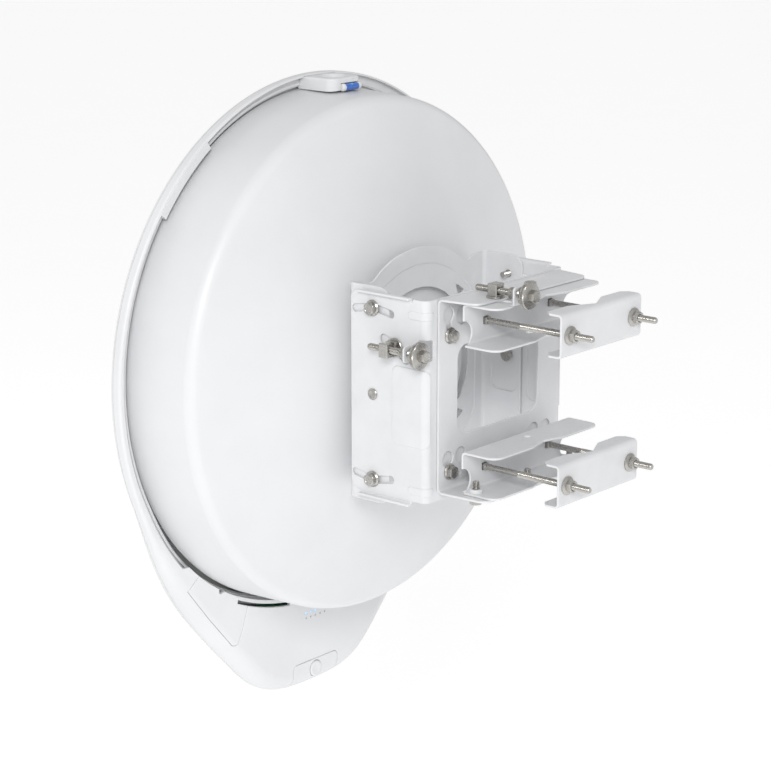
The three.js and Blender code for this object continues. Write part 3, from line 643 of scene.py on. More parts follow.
def add_pivot(node, facing):
    seat, _ = along_facing(node, facing, 1.6)
    rows = [(0, -6), (6.1, -6), (6.4, -5.8), (6.4, -5.2), (6.1, -5), (3.9, -5), (3.9, 0.3), (4.7, 0.3),
            (5, 0.6), (5, 1.0), (4.6, 1.35), (3.2, 1.55), (2.6, 1.3), (1.9, 1.2), (0, 1.2)]
    show(lathe(rows, seat, facing, 64), node, STEEL, sharp=28)


def add_fasteners():
    for level in LEVELS:
        add_hex_bolt(f"azimuth_pivot_{level}", "+z" if level == "upper" else "-z")
        for side, across in SIDES:
            outward = "+x" if across > 0 else "-x"
            add_mast_bolt(f"mast_bolt_{level}_{side}")
            add_nut(f"mast_nut_{level}_{side}")
            add_hex_bolt(f"bracket_bolt_{level}_{side}", "+y")
            add_hex_bolt(f"plate_bolt_{level}_{side}", "+y")
            add_hex_bolt(f"elevation_lock_bolt_{level}_{side}", outward)
    for side, across in SIDES:
        add_hex_bolt(f"azimuth_lock_bolt_{side}", "-z")
        add_pivot(f"elevation_pivot_{side}", "+x" if across > 0 else "-x")
    add_adjuster("azimuth")
    add_adjuster("elevation")
    add_trunnions()


# ---------------------------------------------------------------- folded sheet metal

class Fold:
    """The middle surface of a folded sheet, as runs in one plane.

    It starts at a point with a heading and every bend turns by 90 degrees: +1 to the left, -1 to the right.
    Outward is the side away from the bends' centres.
    """

    def __init__(self, start, heading, bend, radius, corners, end):
        self.radius = radius
        self.bend = bend
        self.runs = []
        self.cuts = []
        place, ahead, s = Vector(start), Vector(heading), 0.0
        for corner in list(corners) + [None]:
            stop = Vector(corner or end)
            length = (stop - place).dot(ahead) - (radius if corner else 0)
            self.runs.append((s, s + length, place.copy(), ahead.copy(), 0))
            s += length
            place += ahead * length
            if corner:
                turn = radius * math.pi / 2
                self.runs.append((s, s + turn, place.copy(), ahead.copy(), bend))
                self.cuts += [s + turn * k / 7 for k in range(8)]
                side = Vector((-ahead.y, ahead.x)) * bend
                place += (ahead + side) * radius
                ahead = side
                s += turn
        self.length = s

    def s(self, run, *point):
        """Distance along the sheet of a point projected on one of its straight runs."""
        start, _, place, ahead, _ = self.runs[2 * run]
        return start + (Vector(point) - place).dot(ahead)

    def place(self, s, w):
        for start, stop, place, ahead, bend in self.runs:
            if s <= stop or stop == self.length:
                break
        if not bend:
            side = Vector((-ahead.y, ahead.x)) * -self.bend
            return place + ahead * (s - start) + side * w
        angle = (s - start) / self.radius
        left = Vector((-ahead.y, ahead.x)) * bend
        centre = place + left * self.radius
        spoke = -left * math.cos(angle) + ahead * math.sin(angle)
        return centre + spoke * (self.radius + w)


SHEET = 2.0
MAST_RADIUS = 24.15
LOCK = {"reach": 67.1, "middles": (-3.4, 183.4), "travel": 10}


def folded(outline, holes, fold, embosses=(), into=lambda u, p, q: (u, p, q), thickness=SHEET, edge=0.5):
    """A folded sheet. Its flat outline is in (along the folds, across them); into() gives X, Y, Z."""
    bm = plate(outline, holes, -thickness / 2, thickness / 2, edge, embosses)
    slice_at(bm, (0, 1, 0), fold.cuts)
    return mapped(bm, lambda u, s, w: into(u, *fold.place(s, w)))


def notch_depth(tip, half):
    """How deep a V notch must be for its flanks to rest on the mast."""
    depth = abs(tip)
    for _ in range(20):
        depth = MAST_RADIUS / math.cos(math.atan2(depth - abs(tip), half))
    return depth


CHANNEL = {"half": 18.75, "radius": 3.0}


def channel(node, web, tip):
    """Fold of a U channel round its web, from the lower flange's tip up, and the height of its middle."""
    low, high, _ = box(node)
    half = CHANNEL["half"]
    centre = (low.z + high.z) / 2 if node != "saddle_upper" else low.z + half
    bottom, top = centre - half + SHEET / 2, centre + half - SHEET / 2
    turn = 1 if web > tip else -1
    corners = [(web, bottom), (web, top)]
    return Fold((tip, bottom), (turn, 0), turn, CHANNEL["radius"], corners, (tip, top)), centre


TAB = {"x": 46.0, "half": 6.5, "y": -20.0, "eye": 92.0, "top": 98.0, "relief": 1.2, "radius": 2.5}


class RaisedTab:
    """The azimuth adjuster's tab: part of the upper flange, bent upright."""

    def __init__(self, fold, tip, centre):
        self.fold = fold
        self.start = fold.length - (tip - TAB["y"]) - TAB["radius"]
        self.bend = TAB["radius"] * math.pi / 2
        self.flange = centre + CHANNEL["half"] - SHEET / 2

    def along(self, z):
        """Distance along the sheet of a height on the upright part."""
        return self.start + self.bend + z - self.flange - TAB["radius"]

    def edge(self, half):
        left, right = TAB["x"] - TAB["half"], TAB["x"] + TAB["half"]
        relief, root, top, tip = TAB["relief"], self.start - 0.5, self.along(TAB["top"]), self.fold.length
        return [(half, tip, 10), (right + relief, tip, 0.6), (right + relief, root, 0.5), (right, root, 0.5),
                (right, top, 3.5), (left, top, 3.5), (left, root, 0.5), (left - relief, root, 0.5),
                (left - relief, tip, 0.6)]

    def place(self, u, s, w):
        if abs(u - TAB["x"]) > TAB["half"] + 0.01 or s <= self.start:
            return self.fold.place(s, w)
        angle = min((s - self.start) / TAB["radius"], math.pi / 2)
        beyond = max(0, s - self.start - self.bend)
        reach = TAB["radius"] - w
        return Vector((self.fold.place(self.start, 0).x + math.sin(angle) * reach,
                       self.flange + TAB["radius"] - math.cos(angle) * reach + beyond))


def add_saddle(level):
    node = f"saddle_{level}"
    half, tip, web = 75.0, -19.0, -55.0
    fold, centre = channel(node, web, tip)
    spread = box(f"mast_bolt_{level}_right")[2].x
    cut_out, seat = fold.s(1, web, centre - 7.4), fold.s(1, web, centre)
    bottom = [(-half, 0, 10), (-22, 0, 1.5), (0, notch_depth(tip, 22) + tip, 2), (22, 0, 1.5), (half, 0, 10)]
    top = [(u, fold.length - s, r) for u, s, r in reversed(bottom)]
    holes = [circle(0, fold.s(run, AZIMUTH_Y, 0), M6["hole"]) for run in (0, 2)]
    neck = M6["hole"]
    holes += [rectangle(side * spread - neck, seat - neck, side * spread + neck, seat + neck, 0.7)
              for _, side in SIDES]
    if level == "upper":
        tab = RaisedTab(fold, tip, centre)
        top = tab.edge(half) + top[1:]
        holes.append([(u, fold.s(2, y, 0)) for u, y in arc_slot(0, AZIMUTH_Y, 46, -4, 13, 9)])
        holes.append(circle(TAB["x"], tab.along(TAB["eye"]), 4))
    outline = rounded(bottom + arc(half, cut_out, 11, -90, -270) + top + arc(-half, cut_out, 11, 90, -90))
    if level == "upper":
        bm = plate(outline, holes, -SHEET / 2, SHEET / 2, 0.5)
        slice_at(bm, (0, 1, 0), fold.cuts + [tab.start + tab.bend * k / 7 for k in range(8)])
        piece = body(mapped(bm, lambda u, s, w: (u, *tab.place(u, s, w))))
    else:
        piece = body(folded(outline, holes, fold))
        for side, _ in SIDES:
            lock = box(f"azimuth_lock_bolt_{side}")[2]
            place = (lock.x, lock.y, centre - CHANNEL["half"])
            boss = [(M6["hole"], 1.0), (5.6, 1.0), (6, 1.4), (6, 4.6), (5.6, 5.0), (M6["hole"], 5.0)]
            join(piece, lathe(boss, place, "+z", closed=True))
            cut(piece, pin(M6["hole"], -2, 9, place, "+z"))
    show(piece, node, COAT)


def add_bar(level):
    node = f"clamp_bar_{level}"
    half, tip, web, chamfer = 57.1, 15.0, 32.9, 6.0
    fold, centre = channel(node, web, tip)
    spread = box(f"mast_bolt_{level}_right")[2].x
    bottom = [(-half, chamfer, 1), (-half + chamfer, 0, 1), (-24, 0, 1.5), (0, notch_depth(tip, 24) - tip, 2),
              (24, 0, 1.5), (half - chamfer, 0, 1), (half, chamfer, 1)]
    top = [(u, fold.length - s, r) for u, s, r in reversed(bottom)]
    holes = [circle(side * spread, fold.s(1, web, centre), M6["hole"]) for _, side in SIDES]
    show(folded(rounded(bottom + top), holes, fold), node, COAT)


def add_azimuth_bracket():
    low, high, _ = box("azimuth_bracket")
    web, floor, top, half = low.y + 1, low.z + 1, high.z - 1, high.x
    upper_tip, lower_tip, shoulder = -37.0, -25.0, -71
    fold = Fold((lower_tip, floor), (-1, 0), -1, 4.0, [(web, floor), (web, top)], (upper_tip, top))
    bottom_run, top_run = fold.s(0, shoulder, 0), fold.s(2, shoulder, 0)
    outline = rounded([(-80, 0, 10), (80, 0, 10), (half, bottom_run, 3), (half, top_run, 3),
                       (77, fold.length, 10), (-77, fold.length, 10), (-half, top_run, 3),
                       (-half, bottom_run, 3)])

    def on_web(loop):
        return [(u, fold.s(1, web, z)) for u, z in loop]

    def on_flange(run, loop):
        return [(u, fold.s(run, y, 0)) for u, y in loop]

    trunnion = box("azimuth_trunnion")[2]
    holes = [on_web(rectangle(-57, -38.5, 57, 40.5, 12)), on_flange(2, circle(trunnion.x, trunnion.y, 4.3))]
    holes += [on_flange(run, circle(0, AZIMUTH_Y, M6["hole"])) for run in (0, 2)]
    reach, travel = LOCK["reach"], LOCK["travel"]
    holes += [on_flange(0, arc_slot(0, AZIMUTH_Y, reach, middle - travel, middle + travel, 2 * M6["hole"]))
              for middle in LOCK["middles"]]
    for level, rise in (("upper", 18), ("lower", 11)):
        for side, across in SIDES:
            bolt = box(f"bracket_bolt_{level}_{side}")[2]
            holes.append(on_web(keyhole(bolt.x, bolt.z, rise, across)))
    for u, z, radius in ((51, 66.6, 8), (52, -56.6, 7)):
        holes += [on_web(circle(side * u, z, radius)) for _, side in SIDES]
    bead = on_flange(2, rectangle(32 - half, -69, half - 32, -64.5, 2.2))
    oval = on_web(rectangle(38, -77.5, 54, -71, 3.2))
    pressed = [(bead, 0.5, 1.0), (oval, -0.5, 1.0), ([(-u, s) for u, s in oval], -0.5, 1.0)]
    show(folded(outline, holes, fold, pressed), "azimuth_bracket", COAT)


def keyhole(x, z, rise, across):
    """A round opening above a narrow seat, as one outline."""
    top, neck = 7.0, M6["hole"]
    lean = math.degrees(math.asin(neck / top))
    upper = arc(x + across * 1.5, z + rise, top, -90 + lean, 270 - lean, 32)
    return upper + arc(x, z, neck, 180, 360, 14)


LIP = {"front": -151.0, "rear": -94.0, "radius": 2.0, "reach": 3.8, "upper": 83.4, "lower": -93.5}


def lip_bend(u, w):
    """Turns the strips beyond the side panels' upper and lower edges outwards."""
    sign = 1 if u > 0 else -1
    start = LIP["upper"] if sign > 0 else LIP["lower"]
    past = (u - start) * sign
    if past <= 0:
        return u, w
    radius = LIP["radius"]
    angle = min(past / radius, math.pi / 2)
    beyond = max(0.0, past - radius * math.pi / 2)
    return (start + sign * math.sin(angle) * (radius - w), radius - math.cos(angle) * (radius - w) + beyond)


ELEVATION = {"rear": -78.3, "top": 85.0, "bottom": -92.5, "travel": 15.6, "relief": 1.3, "pin_hole": 4.3}
ADJUSTER = {"y": -88.0, "half": 7.0, "eye": 4.0}
# Pressed panels: lowest and highest z, y on the cheek, x on the back, height, fillet.
PANELS = ((-44.5, 25.5, -115.6, 90, 0.8, 7), (67.3, 75.3, -98, 86, 0.7, 3.9),
          (-86.8, -78.8, -98, 86, 0.7, 3.9))


def elevation_outline(fold, strips):
    """The flat sheet in (z, s), with a lip above and below each side panel."""
    top, bottom, relief = ELEVATION["top"], ELEVATION["bottom"], ELEVATION["relief"]
    notch = LIP["upper"] - 0.4
    reach = LIP["radius"] * math.pi / 2 + LIP["reach"]
    lip_top, lip_bottom = LIP["upper"] + reach, LIP["lower"] - reach
    upper, lower = [], []
    for a, b in strips:
        upper += [(a - relief, top, 0.8), (a - relief, notch, 0.5), (a, notch, 0.5), (a, lip_top, 1.2),
                  (b, lip_top, 1.2), (b, notch, 0.5), (b + relief, notch, 0.5), (b + relief, top, 0.8)]
        lower += [(a, bottom, 1), (a, lip_bottom, 1.2), (b, lip_bottom, 1.2), (b, bottom, 1)]
    corners = [(0, bottom, 10)] + lower + [(fold.length, bottom, 10), (fold.length, top, 8)]
    return [(z, s) for s, z in rounded(corners + upper[::-1] + [(0, top, 8)])]


def adjuster_tab(mid, reach):
    """The elevation adjuster's tab, bent out of the side panel."""
    y, half, z = ADJUSTER["y"], ADJUSTER["half"], box("elevation_screw")[2].z
    fold = Fold((mid, y - half), (0, 1), -1, 2.4, [(mid, y)], (reach, y))
    eye = circle(z, fold.s(1, reach - half, y), ADJUSTER["eye"])
    outline = rectangle(z - half, 0, z + half, fold.length, 3)
    return folded(outline, [eye], fold, (), lambda v, x, y: (x, y, v), SHEET - 0.1, 0.4)


def add_elevation_bracket():
    low, high, _ = box("elevation_bracket")
    pivot, trunnion = box("elevation_pivot_right")[2], box("elevation_trunnion")[2]
    mid, front = box("dish_bracket")[1].x + 1.4, low.y
    rear = ELEVATION["rear"]
    fold = Fold((-mid, front), (0, 1), -1, 5.5, [(-mid, rear), (mid, rear)], (mid, front))
    strips = ((fold.s(0, 0, LIP["front"]), fold.s(0, 0, LIP["rear"])),
              (fold.s(2, 0, LIP["rear"]), fold.s(2, 0, LIP["front"])))

    def on_side(run, loop):
        return [(z, fold.s(run, 0, y)) for y, z in loop]

    def on_rear(loop):
        return [(z, fold.s(1, x, 0)) for x, z in loop]

    travel = ELEVATION["travel"]
    reach = box("elevation_lock_bolt_upper_right")[2].z - pivot.z
    nut = Vector((trunnion.y - pivot.y, box("elevation_screw")[2].z - pivot.z))
    angle = math.degrees(math.atan2(nut.y, nut.x))
    window = (fold.s(1, 87, 0), fold.s(2, 0, -87))
    holes = [on_rear(rectangle(-64, -46, 64, 48, 12)), rectangle(33, window[0], 51, window[1], 3),
             on_side(2, arc_slot(pivot.y, pivot.z, nut.length, angle - travel, angle + travel, 9))]
    holes += [on_rear(circle(bolt.x, bolt.z, M6["hole"])) for bolt in four("bracket_bolt")]
    for run in (0, 2):
        holes.append(on_side(run, circle(pivot.y, pivot.z, ELEVATION["pin_hole"])))
        holes += [on_side(run, arc_slot(pivot.y, pivot.z, reach, middle - travel, middle + travel,
                                        2 * M6["hole"])) for middle in (90, 270)]
    embosses = []
    for run, across in ((0, -1), (2, 1)):
        for z0, z1, y, x, height, fillet in PANELS:
            ends = sorted((fold.s(run, 0, y), fold.s(1, across * x, 0)))
            embosses.append((rectangle(z0, ends[0], z1, ends[1], fillet), height, 1.1))
    bm = plate(elevation_outline(fold, strips), holes, -SHEET / 2, SHEET / 2, 0.5, embosses)
    slice_at(bm, (0, 1, 0), fold.cuts)
    bends = [LIP["radius"] * math.pi / 2 * k / 6 for k in range(7)]
    slice_at(bm, (1, 0, 0), [LIP["upper"] + bend for bend in bends] + [LIP["lower"] - bend for bend in bends])

    def into(z, s, w):
        if any(a - 0.01 <= s <= b + 0.01 for a, b in strips):
            z, w = lip_bend(z, w)
        return (*fold.place(s, w), z)

    show(join(body(mapped(bm, into)), adjuster_tab(mid, high.x)), "elevation_bracket", COAT)


CROWN = ((0, 111), (30, 107), (50, 98.5), (61, 91), (68, 89.5), (76, 92), (86, 94.3))


def smooth(points, steps=6):
    """Catmull-Rom curve through points."""
    places = [Vector(p) for p in points]
    places = [2 * places[0] - places[1]] + places + [2 * places[-1] - places[-2]]
    curve = []
    for a, b, c, d in zip(places, places[1:], places[2:], places[3:]):
        for k in range(steps):
            t = k / steps
            curve.append(tuple(0.5 * (2 * b + (c - a) * t + (2 * a - 5 * b + 4 * c - d) * t * t
                                      + (3 * b - a - 3 * c + d) * t ** 3)))
    return curve + [tuple(places[-2])]


DISH_PLATE = {"face": -165.8, "top": 90.0, "tip": -121.0, "recess": (-156, -39, -124, 34, 9)}


def add_dish_bracket():
    low, high, _ = box("dish_bracket")
    pivot, nut = box("elevation_pivot_right")[2], box("elevation_trunnion")[2]
    nut_z, z = box("elevation_screw")[2].z, pivot.z
    mid, bottom = high.x - 1, low.z
    face, top, tip = DISH_PLATE["face"], DISH_PLATE["top"], DISH_PLATE["tip"]
    fold = Fold((-mid, tip), (0, -1), 1, 4.5, [(-mid, face), (mid, face)], (mid, tip))
    halves = [(-x, rise) for x, rise in CROWN[:0:-1]] + list(CROWN)
    crown = smooth([(fold.s(1, x, 0), z + rise) for x, rise in halves])
    root, end = fold.s(2, 0, tip), fold.s(2, 0, nut.y + 7)
    ear = [(root, nut_z - 13, 6), (end, nut_z - 9, 7), (end, nut_z + 9, 7), (root, nut_z + 13, 6)]
    corners = [(0, bottom, 12), (fold.length, bottom, 12)] + ear
    corners += [(fold.length, top, 12)] + crown[::-1] + [(0, top, 12)]
    outline = [(v, s) for s, v in rounded(corners)]

    def on_plate(points):
        return [(v, fold.s(1, x, 0)) for x, v in points]

    def on_cheek(run, points):
        return [(v, fold.s(run, 0, y)) for y, v in points]

    holes = [on_plate(arc_slot(0, z, 62, middle - 40, middle + 40, 24)) for middle in (90, 270)]
    holes += [on_plate(arc_slot(0, z, 66, middle - 32, middle + 32, 9)) for middle in (0, 180)]
    holes += [on_plate(circle(bolt.x, bolt.z, M6["hole"])) for bolt in four("plate_bolt")]
    reach = box("elevation_lock_bolt_upper_right")[2].z - z
    for run in (0, 2):
        holes.append(on_cheek(run, circle(pivot.y, z, ELEVATION["pin_hole"])))
        holes += [on_cheek(run, circle(pivot.y, z + side * reach, M6["hole"])) for side in (-1, 1)]
    holes.append(on_cheek(2, circle(nut.y, nut_z, 4.4)))
    holes += [on_plate(lance(side * 58, level)) for side in (-1, 1) for level in (-60, 60)]
    ring = on_plate(arc(0, z, 96, 33, 147) + arc(0, z, 96, 213, 327))
    shape = body(folded(outline, holes, fold, [(ring, 0.8, 1.4)], lambda v, x, y: (x, y, v)))
    inner = high.x - SHEET
    for side in (-1, 1):
        reach = sorted((side * (inner - 2), side * (inner + 0.8)))
        cut(shape, prism(rectangle(*DISH_PLATE["recess"]), "x", *reach, 0.7))
    show(shape, "dish_bracket", COAT)


def lance(x, z):
    """A small triangular opening in the plate."""
    out = math.copysign(1, x)
    up = math.copysign(1, z)
    return rounded([(x + u * out, z + v * up, 0.8) for u, v in ((-6, 5), (7, -3), (-2, -7))])


def add_brackets():
    for level in LEVELS:
        add_saddle(level)
        add_bar(level)
    add_azimuth_bracket()
    add_elevation_bracket()
    add_dish_bracket()


# ---------------------------------------------------------------- dish, drum and housing

ROUND = 224   # segments of the large round bodies


def about_axis(loop, z):
    """A body turned about the dish's axis from a closed outline of (radius, y)."""
    return lathe(loop, (0, 0, z), segments=ROUND, closed=True)


DRUM_Z = -1.5
DISH_Z = -4.5
# The shell's rear face and its seam with the radome, before it is bent, and its wall.
REAR_Y = -294.0
SEAM_Y = -309.0
WALL = 3.0


def add_drum():
    low, high, _ = box("drum")
    apex, mouth, wall = -170.5, low.y, WALL
    rim, end = 236.6, high.x
    back = [(0, apex), (30, apex - 0.9), (60, apex - 3.0), (90, apex - 6.9), (118, apex - 12.3),
            (150, apex - 21), (190, apex - 33.2), (229, apex - 45.7)]
    shoulder = [(229 + 8.2 * math.sin(a), apex - 45.7 - 8.6 * (1 - math.cos(a)) - 2.5 * math.sin(a))
                for a in [math.pi / 2 * k / 12 for k in range(1, 13)]]
    outside = smooth(back, 5) + shoulder + [(end - 0.2, mouth + 8), (end, mouth + 0.6), (end - 0.5, mouth)]
    inside_rows = [(end - wall + 0.4, mouth), (end - wall, mouth + 0.6), (rim - wall - 0.4, apex - 60),
                   (226, apex - 49), (190, apex - 37), (118, apex - 16), (60, apex - 6.4), (0, apex - wall)]
    shell = body(lathe([(0, outside[0][1])] + outside[1:] + inside_rows, (0, 0, DRUM_Z), segments=ROUND))
    places = [(bolt.x, 0, bolt.z) for bolt in four("plate_bolt")]
    boss = [(0, apex - 7), (10.5, apex - 7), (9.2, apex + 2.1), (8.4, apex + 2.9), (0, apex + 2.9)]
    join(shell, *[lathe(boss, place, segments=56) for place in places])
    cut(shell, *[pin(M6["hole"], apex - 19.5, apex + 10.5, place, segments=40) for place in places])
    show(shell, "drum", DRUM_COAT, sharp=38)


# The chin leaves the ring at an angle; its side bulges at a corner, on curves with these handles.
CHIN = {"join": -21.2, "corner": (93, -306), "slope": (0.689, 0.725), "upper": (92.9, 91),
        "lower": (38.6, 50)}

# Below the drum the shell bends forward into a thicker chin: depths at the ring and at the chin.
BEND = {"start": -100, "end": -250, "rear": (-283.3, -294), "seam": (-291.3, -311), "front": (-296, -329)}


def bent_depth(depths, z):
    share = min(1.0, max(0.0, (z - BEND["start"]) / (BEND["end"] - BEND["start"])))
    share = share * share * (3 - 2 * share)
    return depths[0] + (depths[1] - depths[0]) * share


def bent(shape):
    """Bends a body built between the flat seam and rear planes into the real depths of the shell."""
    bm = bmesh.new()
    bm.from_mesh(shape.data)
    slice_at(bm, (0, 0, 1), [z * MM for z in range(BEND["end"], BEND["start"] + 1, 6)])
    for vertex in bm.verts:
        y, z = vertex.co.y / MM, vertex.co.z / MM
        rear, seam = bent_depth(BEND["rear"], z), bent_depth(BEND["seam"], z)
        vertex.co.y = (rear + (y - REAR_Y) * (rear - seam) / (REAR_Y - SEAM_Y)) * MM
    bm.to_mesh(shape.data)
    bm.free()
    return shape


def bezier(a, b, c, d, steps):
    return [a * (1 - t) ** 3 + b * 3 * t * (1 - t) ** 2 + c * 3 * t * t * (1 - t) + d * t ** 3
            for t in (k / steps for k in range(steps))]


def teardrop(count=420):
    """The outline seen along the dish's axis, as evenly spaced (x, z) points with inward normals."""
    low, high, _ = box("rear_housing")
    outer, tip = high.x, low.z
    start = Vector(polar(0, DISH_Z, outer, CHIN["join"]))
    angle = math.radians(CHIN["join"])
    down = Vector((math.sin(angle), -math.cos(angle)))
    corner, slope = Vector(CHIN["corner"]), Vector(CHIN["slope"])
    (corner_low, tip_low), (start_high, corner_high) = CHIN["lower"], CHIN["upper"]
    right = bezier(Vector((0, tip)), Vector((tip_low, tip)), corner - slope * corner_low, corner, 60)
    right += bezier(corner, corner + slope * corner_high, start + down * start_high, start, 60)
    top = [Vector(p) for p in arc(0, DISH_Z, outer, CHIN["join"], 180 - CHIN["join"], 180)]
    left = [Vector((-p.x, p.y)) for p in reversed(right[1:])]
    dense = right + top + left
    lengths = [0.0]
    for a, b in zip(dense, dense[1:] + dense[:1]):
        lengths.append(lengths[-1] + (b - a).length)
    places, i = [], 0
    for k in range(count):
        target = lengths[-1] * k / count
        while lengths[i + 1] < target:
            i += 1
        share = (target - lengths[i]) / (lengths[i + 1] - lengths[i])
        places.append(dense[i].lerp(dense[(i + 1) % len(dense)], share))
    normals = []
    for before, after in zip(places[-1:] + places[:-1], places[1:] + places[:1]):
        along = (after - before).normalized()
        normals.append(Vector((-along.y, along.x)))
    return places, normals


def lofted(rings):
    """A closed body through rings of (x, y, z) points, capped at both ends."""
    bm = bmesh.new()
    rows = [[bm.verts.new(point) for point in ring] for ring in rings]
    for first, second in zip(rows, rows[1:]):
        strip(bm, first, second)
    for row in (rows[0], rows[-1]):
        bm.faces.new(row)
    return face_outwards(bm)


PLACES, NORMALS = teardrop()


def ring_at(inset, y):
    """The teardrop moved inwards at one depth; both may be given per point by a function of z."""
    ring = []
    for place, normal in zip(PLACES, NORMALS):
        point = place + normal * (inset(place.y) if callable(inset) else inset)
        ring.append((point.x, y(place.y) if callable(y) else y, point.y))
    return ring


def rim_round(z):
    """How far the round outer edge reaches inwards and forwards before the bend: a full round at the chin."""
    return bent_depth((2.6, 17), z), bent_depth((4.8, 14.8), z)


def rear_frame():
    rings = [ring_at(0.2, SEAM_Y), ring_at(0.0, SEAM_Y + 0.2)]
    hollow = [ring_at(WALL, SEAM_Y - 2), ring_at(WALL, SEAM_Y)]
    floor = REAR_Y - WALL
    for k in range(11):
        turn = math.radians(90 * k / 10)
        across, along = 1 - math.cos(turn), 1 - math.sin(turn)
        rings.append(ring_at(lambda z: rim_round(z)[0] * across, lambda z: REAR_Y - rim_round(z)[1] * along))
        hollow.append(ring_at(lambda z: WALL + max(1.0, rim_round(z)[0] - WALL) * across,
                              lambda z: floor - min(11.9, rim_round(z)[1]) * along))
    return cut(body(lofted(rings)), lofted(hollow))


# The opening's middle, and the radii about it.
OPENING = {"z": -1.0, "edge": 250.8, "floor": 242.4, "close": 245.4}


def drum_opening():
    """The opening round the drum: closer to the drum below, with a small notch and a slot at each side."""
    z, edge, close = OPENING["z"], OPENING["edge"], OPENING["close"]

    def half(sign):
        points = [polar(0, z, edge, angle) for angle in range(90, -45, -2)]
        points += arc(0, z, close, -45.5, -57.6, 8)
        notch = polar(0, z, close + 0.6, -58.5)
        points += [polar(*notch, 2.9, angle) for angle in range(18, -130, -18)]
        points += arc(0, z, close, -59.5, -64.6, 4)
        points += arc(0, z, 252.2, -65.0, -81.8, 14)
        points += arc(0, z, close + 0.8, -82.2, -90, 5)
        return [(sign * x, v) for x, v in points]
    return chamfered_tool(half(1) + half(-1)[::-1][1:-1])


def chamfered_tool(loop, chamfer=0.5):
    """A cutting prism along Y that flares where it meets the rear face."""
    loop = directed(loop, True)
    return stacked((loop, SEAM_Y - WALL), (loop, REAR_Y - chamfer), (moved_in(loop, -chamfer), REAR_Y),
                   (moved_in(loop, -chamfer * 3), REAR_Y + 2 * chamfer))


def stacked(*sections):
    """A closed body through (loop, y) sections."""
    return lofted([[(u, y, v) for u, v in loop] for loop, y in sections])


TRIM = ((91, -228), (101, -258), (109, -274, 5), (140, -238), (172, -200), (154, -184), (122, -205))
SEAM = {"gap": 0.42, "chamfer": 0.28}


def trim_outline(side):
    return directed([(side * u, v) for u, v in rounded(TRIM)], True)


def port_outline():
    low, high, _ = box("port_cover")
    return directed(rounded([(low.x, -350), (high.x, -350), (high.x, high.z, 5), (low.x, high.z, 5)]), True)


def panel_of(frame_body, loop):
    """The part of the frame inside an outline, with a small chamfer at its seam."""
    piece = frame_body.copy()
    piece.data = frame_body.data.copy()
    bpy.context.scene.collection.objects.link(piece)
    chamfer = SEAM["chamfer"]
    narrow = moved_in(loop, chamfer)
    tool = stacked((loop, SEAM_Y - WALL), (loop, REAR_Y - chamfer), (narrow, REAR_Y), (narrow, REAR_Y + 2))
    return combine(piece, "INTERSECT", body(tool))


def add_housing():
    whole = rear_frame()
    cut(whole, drum_opening())
    button = box("release_button")[2]
    for side, across in SIDES:
        loop = trim_outline(across)
        show(bent(panel_of(whole, loop)), f"side_trim_{side}", PLASTIC, sharp=35)
        cut(whole, chamfered_tool(moved_in(loop, -SEAM["gap"]), SEAM["chamfer"]))
    port = port_outline()
    cover = panel_of(whole, port)
    cut(cover, lathe([(0, SEAM_Y - WALL), (8.15, SEAM_Y - WALL), (8.15, REAR_Y - 0.4), (8.6, REAR_Y),
                      (9.2, REAR_Y + 1), (0, REAR_Y + 1)], (button.x, 0, button.z), segments=72))
    show(bent(cover), "port_cover", PLASTIC, sharp=35)
    cut(whole, chamfered_tool(moved_in(port, -SEAM["gap"]), SEAM["chamfer"]))
    for _, across in SIDES:
        join(whole, ledge(across, 245.2, 248.9, -82.5, -64.6, REAR_Y - 2.6, REAR_Y - 0.9),
             ledge(across, 244.6, 252.6, 36.5, 54.8, REAR_Y - 6, REAR_Y + 1.2))
    floor, z = OPENING["floor"], OPENING["z"]
    step = [(floor + 1, SEAM_Y + 1, 0.3), (floor + 3.4, SEAM_Y + 1, 0.3), (floor + 3.2, SEAM_Y + 4.4, 0.5),
            (floor + 1.2, SEAM_Y + 4.4, 0.5)]
    join(whole, about_axis(rectangle(floor, SEAM_Y + 0.4, OPENING["edge"] + 1.6, SEAM_Y + 2.6, 0.3), z),
         about_axis(rounded(step), z))
    cut(whole, *[pin(0.95, REAR_Y - 1.6, REAR_Y + 1, (x, 0, v), segments=20) for x, v, _ in status_dots()])
    low, high, _ = box("alignment_module")
    pocket = block((low.x - 0.4, REAR_Y, low.z - 4), (high.x + 0.4, REAR_Y + 13, high.z + 0.15), 0.4)
    show(cut(bent(whole), pocket), "rear_housing", PLASTIC, sharp=35)
    cap = [(0, -3.6), (7.4, -3.6), (7.6, -3.4), (7.6, 0.1), (7.1, 0.75), (6.2, 1.1), (4.6, 0.75), (2.2, 0.5),
           (0, 0.45)]
    show(lathe(cap, (button.x, REAR_Y, button.z), segments=72), "release_button", PLASTIC, sharp=35)


def ledge(across, inner, outer, start, stop, low, high):
    """A curved strip along the opening, on one side."""
    z = OPENING["z"]
    loop = arc(0, z, outer, start, stop, 18) + arc(0, z, inner, stop, start, 18)
    return prism([(across * x, z) for x, z in loop], "y", low, high, 0.45)


STATUS = {"step": 6.6, "upper": -265.0, "lower": -269.9, "count": 5, "lit": 3}


def status_dots():
    """Two rows of status lights: the upper row's lit ones, then the whole unlit lower row."""
    reach = (STATUS["count"] - 1) / 2
    lit = [((reach - k) * STATUS["step"], STATUS["upper"], True) for k in range(STATUS["lit"])]
    return lit + [((reach - k) * STATUS["step"], STATUS["lower"], False) for k in range(STATUS["count"])]


